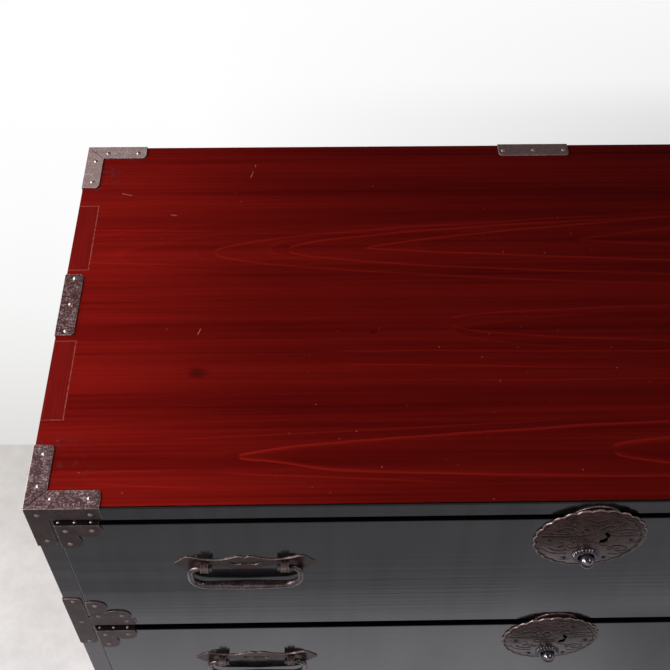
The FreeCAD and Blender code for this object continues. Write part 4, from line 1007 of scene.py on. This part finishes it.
def painted_floor_reflection(g, tone):
    """Painted reflection: the glowing floor that the lacquer and iron in front of it mirror,
    bright near the chest up to a painted shadow edge.
    """
    away = g.ramp(g.linear(g.y, -1.3, -0.3), (0.0, 0.20), (0.68, 0.44), (0.75, 0.43),
                  (0.855, 0.385), (0.893, 0.77), (0.97, 0.86))
    # the painted shadow edge across the floor in front of the chest
    near = g.step(g.y, -0.42, -0.39)
    aside = g.sub(g.blend(near, 0.94, 1.0),
                  g.mul(g.blend(near, g.linear(g.x, -0.40, 0.35),
                                g.step(g.x, 0.03, 0.24)), g.blend(near, -0.07, 0.46)))
    level = g.mul(away, aside, g.blend(tone, 0.90, 1.08))
    return g.emission(g.tinted(g.grey(level), (1.0, 0.975, 1.035)))


def wall(g):
    """The wall behind the chest, glowing with painted shade: paler with height and towards the
    window, with a painted shadow of the chest near its top.
    """
    climb = g.ramp(g.linear(g.y, WALL_Y, WALL_Y + 1), (0.0, 0.730), (0.064, 0.780),
                   (0.16, 0.855), (0.29, 0.930), (0.475, 0.973), (0.80, 1.0))
    # painted shadow of the chest on the wall, stronger to the right
    painted_chest_shadow = g.ramp(g.linear(g.y, 0.90, 1.70), (0.0, 1.0), (0.13, 0.78), (0.27, 0.36),
                  (0.60, 0.20), (1.0, 0.0))
    veil = g.sub(1.0, g.mul(painted_chest_shadow, g.linear(g.x, -0.45, 0.75), 0.38))
    tint = g.mix(g.step(g.y, WALL_Y, 0.60), (1.01, 0.998, 0.985), (1.0, 1.0, 1.0))
    return g.emission(g.tinted(g.grey(g.mul(climb, veil)), tint))


def floor_material():
    """The floor, with the wall behind the chest and the pale floor far from it."""
    g = material_graph("floor")
    path = g.node("ShaderNodeLightPath").outputs
    mottle = g.noise(g.spot, 9.0, 6.0, 0.62)
    fine = g.noise(g.spot, 60.0, 5.0, 0.7)
    tone = g.step(g.add(g.mul(mottle, 0.65), g.mul(fine, 0.35)), 0.30, 0.70)
    diffuse = g.node("ShaderNodeBsdfDiffuse", {0: floor_color(g, tone)}).outputs[0]
    ahead = g.mul(g.step(g.y, -0.24, -0.30), path["Is Glossy Ray"])
    seen = g.shaders(ahead, diffuse, painted_floor_reflection(g, tone))
    # far from the chest the floor is as pale as near the window
    far = g.step(g.length(g.x, g.y), 0.85, 1.70)
    pale = g.emission(g.mix(tone, (0.74, 0.735, 0.730), (0.84, 0.836, 0.830)))
    seen = g.shaders(g.mul(far, path["Is Camera Ray"]), seen, pale)
    behind = g.linear(g.y, WALL_Y - 0.0005, WALL_Y + 0.0020)
    return g.done(g.shaders(g.mul(behind, path["Is Camera Ray"]), seen, wall(g)))


def add_floor():
    """One big square just under the chest."""
    mesh = bmesh.new()
    for x, y in ((-1, -1), (1, -1), (1, 1), (-1, 1)):
        mesh.verts.new((x * FLOOR_HALF, y * FLOOR_HALF, FLOOR_Z))
    mesh.faces.new(mesh.verts)
    floor = loose(mesh, "floor")
    floor.data.materials.append(floor_material())


def add_world():
    """Dim and cool; mirrors see it pale near the horizon and in front of the chest."""
    world = bpy.data.worlds.new("studio")
    scene.world = world
    g = Graph(world, "ShaderNodeOutputWorld", "Generated")
    path = g.node("ShaderNodeLightPath").outputs

    def background(color, strength):
        return g.node("ShaderNodeBackground", {0: color, 1: strength}).outputs[0]

    horizon = g.step(g.z, 0.10, 0.42, start=1.0, end=0.02)
    room = g.mul(g.step(g.y, -0.10, -0.70, end=0.85), g.step(g.z, 0.05, 0.25),
                 g.step(g.x, 0.60, -0.20), g.step(g.z, 0.85, 0.55))
    pale = (0.8, 0.8, 0.8)
    lit = g.shaders(path["Is Glossy Ray"], background((0.97, 0.98, 1.0), 0.11),
                    background(pale, g.max(horizon, room)))
    bright = g.max(path["Is Camera Ray"], path["Is Transmission Ray"])
    g.done(g.shaders(bright, lit, background(pale, 1.0)))


# name, place, what it points at, width, height, power and colour
LIGHTS = (
    ("window", (-1.22, 0.00, 1.12), (-0.2, -0.05, 0.55), 0.9, 0.8, 20.0, (1, 1, 1)),
    ("front_window", (-1.30, -0.90, 1.70), (-0.2, -0.2, 0.5), 0.5, 0.5, 9.0, (1, 1, 1)),
    ("second_window", (0.9, -0.5, 1.9), (0.0, -0.2, 0.4), 0.5, 0.5, 2.5, (0.95, 0.97, 1.0)),
)


def add_light(name, place, target, width, height, power, color):
    """A rectangle of light that points at its target."""
    data = bpy.data.lights.new(name, "AREA")
    data.shape = "RECTANGLE"
    data.size = width
    data.size_y = height
    data.energy = power
    data.color = color
    lamp = bpy.data.objects.new(name, data)
    lamp.location = place
    aim = Vector(target) - Vector(place)
    lamp.rotation_euler = aim.to_track_quat("-Z", "Y").to_euler()
    scene.collection.objects.link(lamp)


# ------------ all of it

add_camera()
add_world()
add_floor()
for light in LIGHTS:
    add_light(*light)

PLAIN_X = plain_material("plain_wood_x", "x")
PLAIN_Y = plain_material("plain_wood_y", "y")
DRAWER_BLACK = front_material("black_lacquer_drawer", DRAWER_FACE + 0.016)
RAIL_BLACK = front_material("black_lacquer_rail", FRONT + 0.012)
IRON = iron_material("patinated_iron", topped=crusted)
# painted shade: the tops of the drawer irons' flaps are near black
SHADED_FLAP_IRON = iron_material("drawer_iron_shaded_tops", topped=flap_painted_shade)
# worn edges, painted paler as a highlight too
RUBBED_HIGHLIT = iron_material("rubbed_edges_painted_highlight", (0.28, 0.190, 0.178), (0.60, 0.465, 0.445),
                       rough=0.26, pits=0.5, metallic=0.40)
# painted shade for the floors of the slots
RECESS_SHADE = iron_material("painted_recess_shade", (0.004, 0.003, 0.003), (0.012, 0.008, 0.008),
                     rough=0.6, pits=0.5, metallic=0.0)
PLATE_IRON = iron_material("engraved_iron", (0.027, 0.0105, 0.0090), (0.104, 0.050, 0.043),
                           rough=0.22, pits=0.5, metallic=0.34, etched=0.75)
# the plate's worn rim, painted paler as a highlight
RIM_IRON = iron_material("rubbed_rim_painted_highlight", (0.20, 0.130, 0.120), (0.52, 0.390, 0.370),
                         rough=0.22, pits=0.4, metallic=0.55)
# painted reflection: the collar's upper sides are painted paler
COLLAR_IRON = iron_material("polished_iron_sky_sheen", (0.040, 0.036, 0.044), (0.150, 0.134, 0.160),
                            rough=0.18, pits=0.3, metallic=0.75, coat=0.10, sky_sheen=0.15)
BAIL_IRON = iron_material("forged_iron", (0.030, 0.022, 0.024), (0.240, 0.188, 0.192),
                          rough=0.24, pits=1.6, metallic=0.80, coat=0.12)
# painted light: the posts' iron is paler than the other irons, so that the posts look lit
LIT_POST_IRON = iron_material("post_iron_painted_light", (0.12, 0.075, 0.070), (0.32, 0.235, 0.225),
                          rough=0.28, pits=0.5, metallic=0.50)
LOCK_STEEL = iron_material("oiled_steel", (0.06, 0.055, 0.05), (0.20, 0.19, 0.18),
                           rough=0.35, pits=0.4, metallic=0.9)
# painted reflection: the button's upper side is painted paler and bluer
BUTTON_IRON = iron_material("button_iron_sky_sheen", (0.046, 0.024, 0.024), (0.112, 0.066, 0.068),
                            rough=0.14, pits=0.2, metallic=0.85, coat=0.30, sky_sheen=0.45)
NAIL_IRON = nail_material()

assign(top_material(), "top_board")
assign(side_material(), "left_side_board", "right_side_board")
assign(RAIL_BLACK, "bottom_board", "front_rails")
assign(PLAIN_X, "back_boards", "shelf_boards")
assign(NAIL_IRON, "case_nails")
dressed("corner_irons", "case", IRON, change=crease)
for node in ("rail_irons", "edge_irons", "lock_keepers"):
    dressed(node, "case", IRON)
add_locks()
add_springs()
for level in LEVELS:
    drawer = level + "_drawer"
    assign(DRAWER_BLACK, drawer + "_front")
    assign(PLAIN_Y, drawer + "_left_side", drawer + "_right_side")
    assign(PLAIN_X, drawer + "_back", drawer + "_bottom")
    assign(NAIL_IRON, drawer + "_nails")
    assign(LOCK_STEEL, level + "_lock_case", level + "_lock_bolt")
    assign(BUTTON_IRON, level + "_lock_button")
    assign(LIT_POST_IRON, level + "_handle_posts")
    assign(BAIL_IRON, level + "_left_bail", level + "_right_bail")
    dressed(drawer + "_corner_irons", drawer, SHADED_FLAP_IRON)
    dressed(level + "_handle_plates", drawer, IRON, PLATE_EDGE_WIDTH, rub_and_highlight_rim,
            handle_slots(level))

scene.view_settings.view_transform = "Standard"
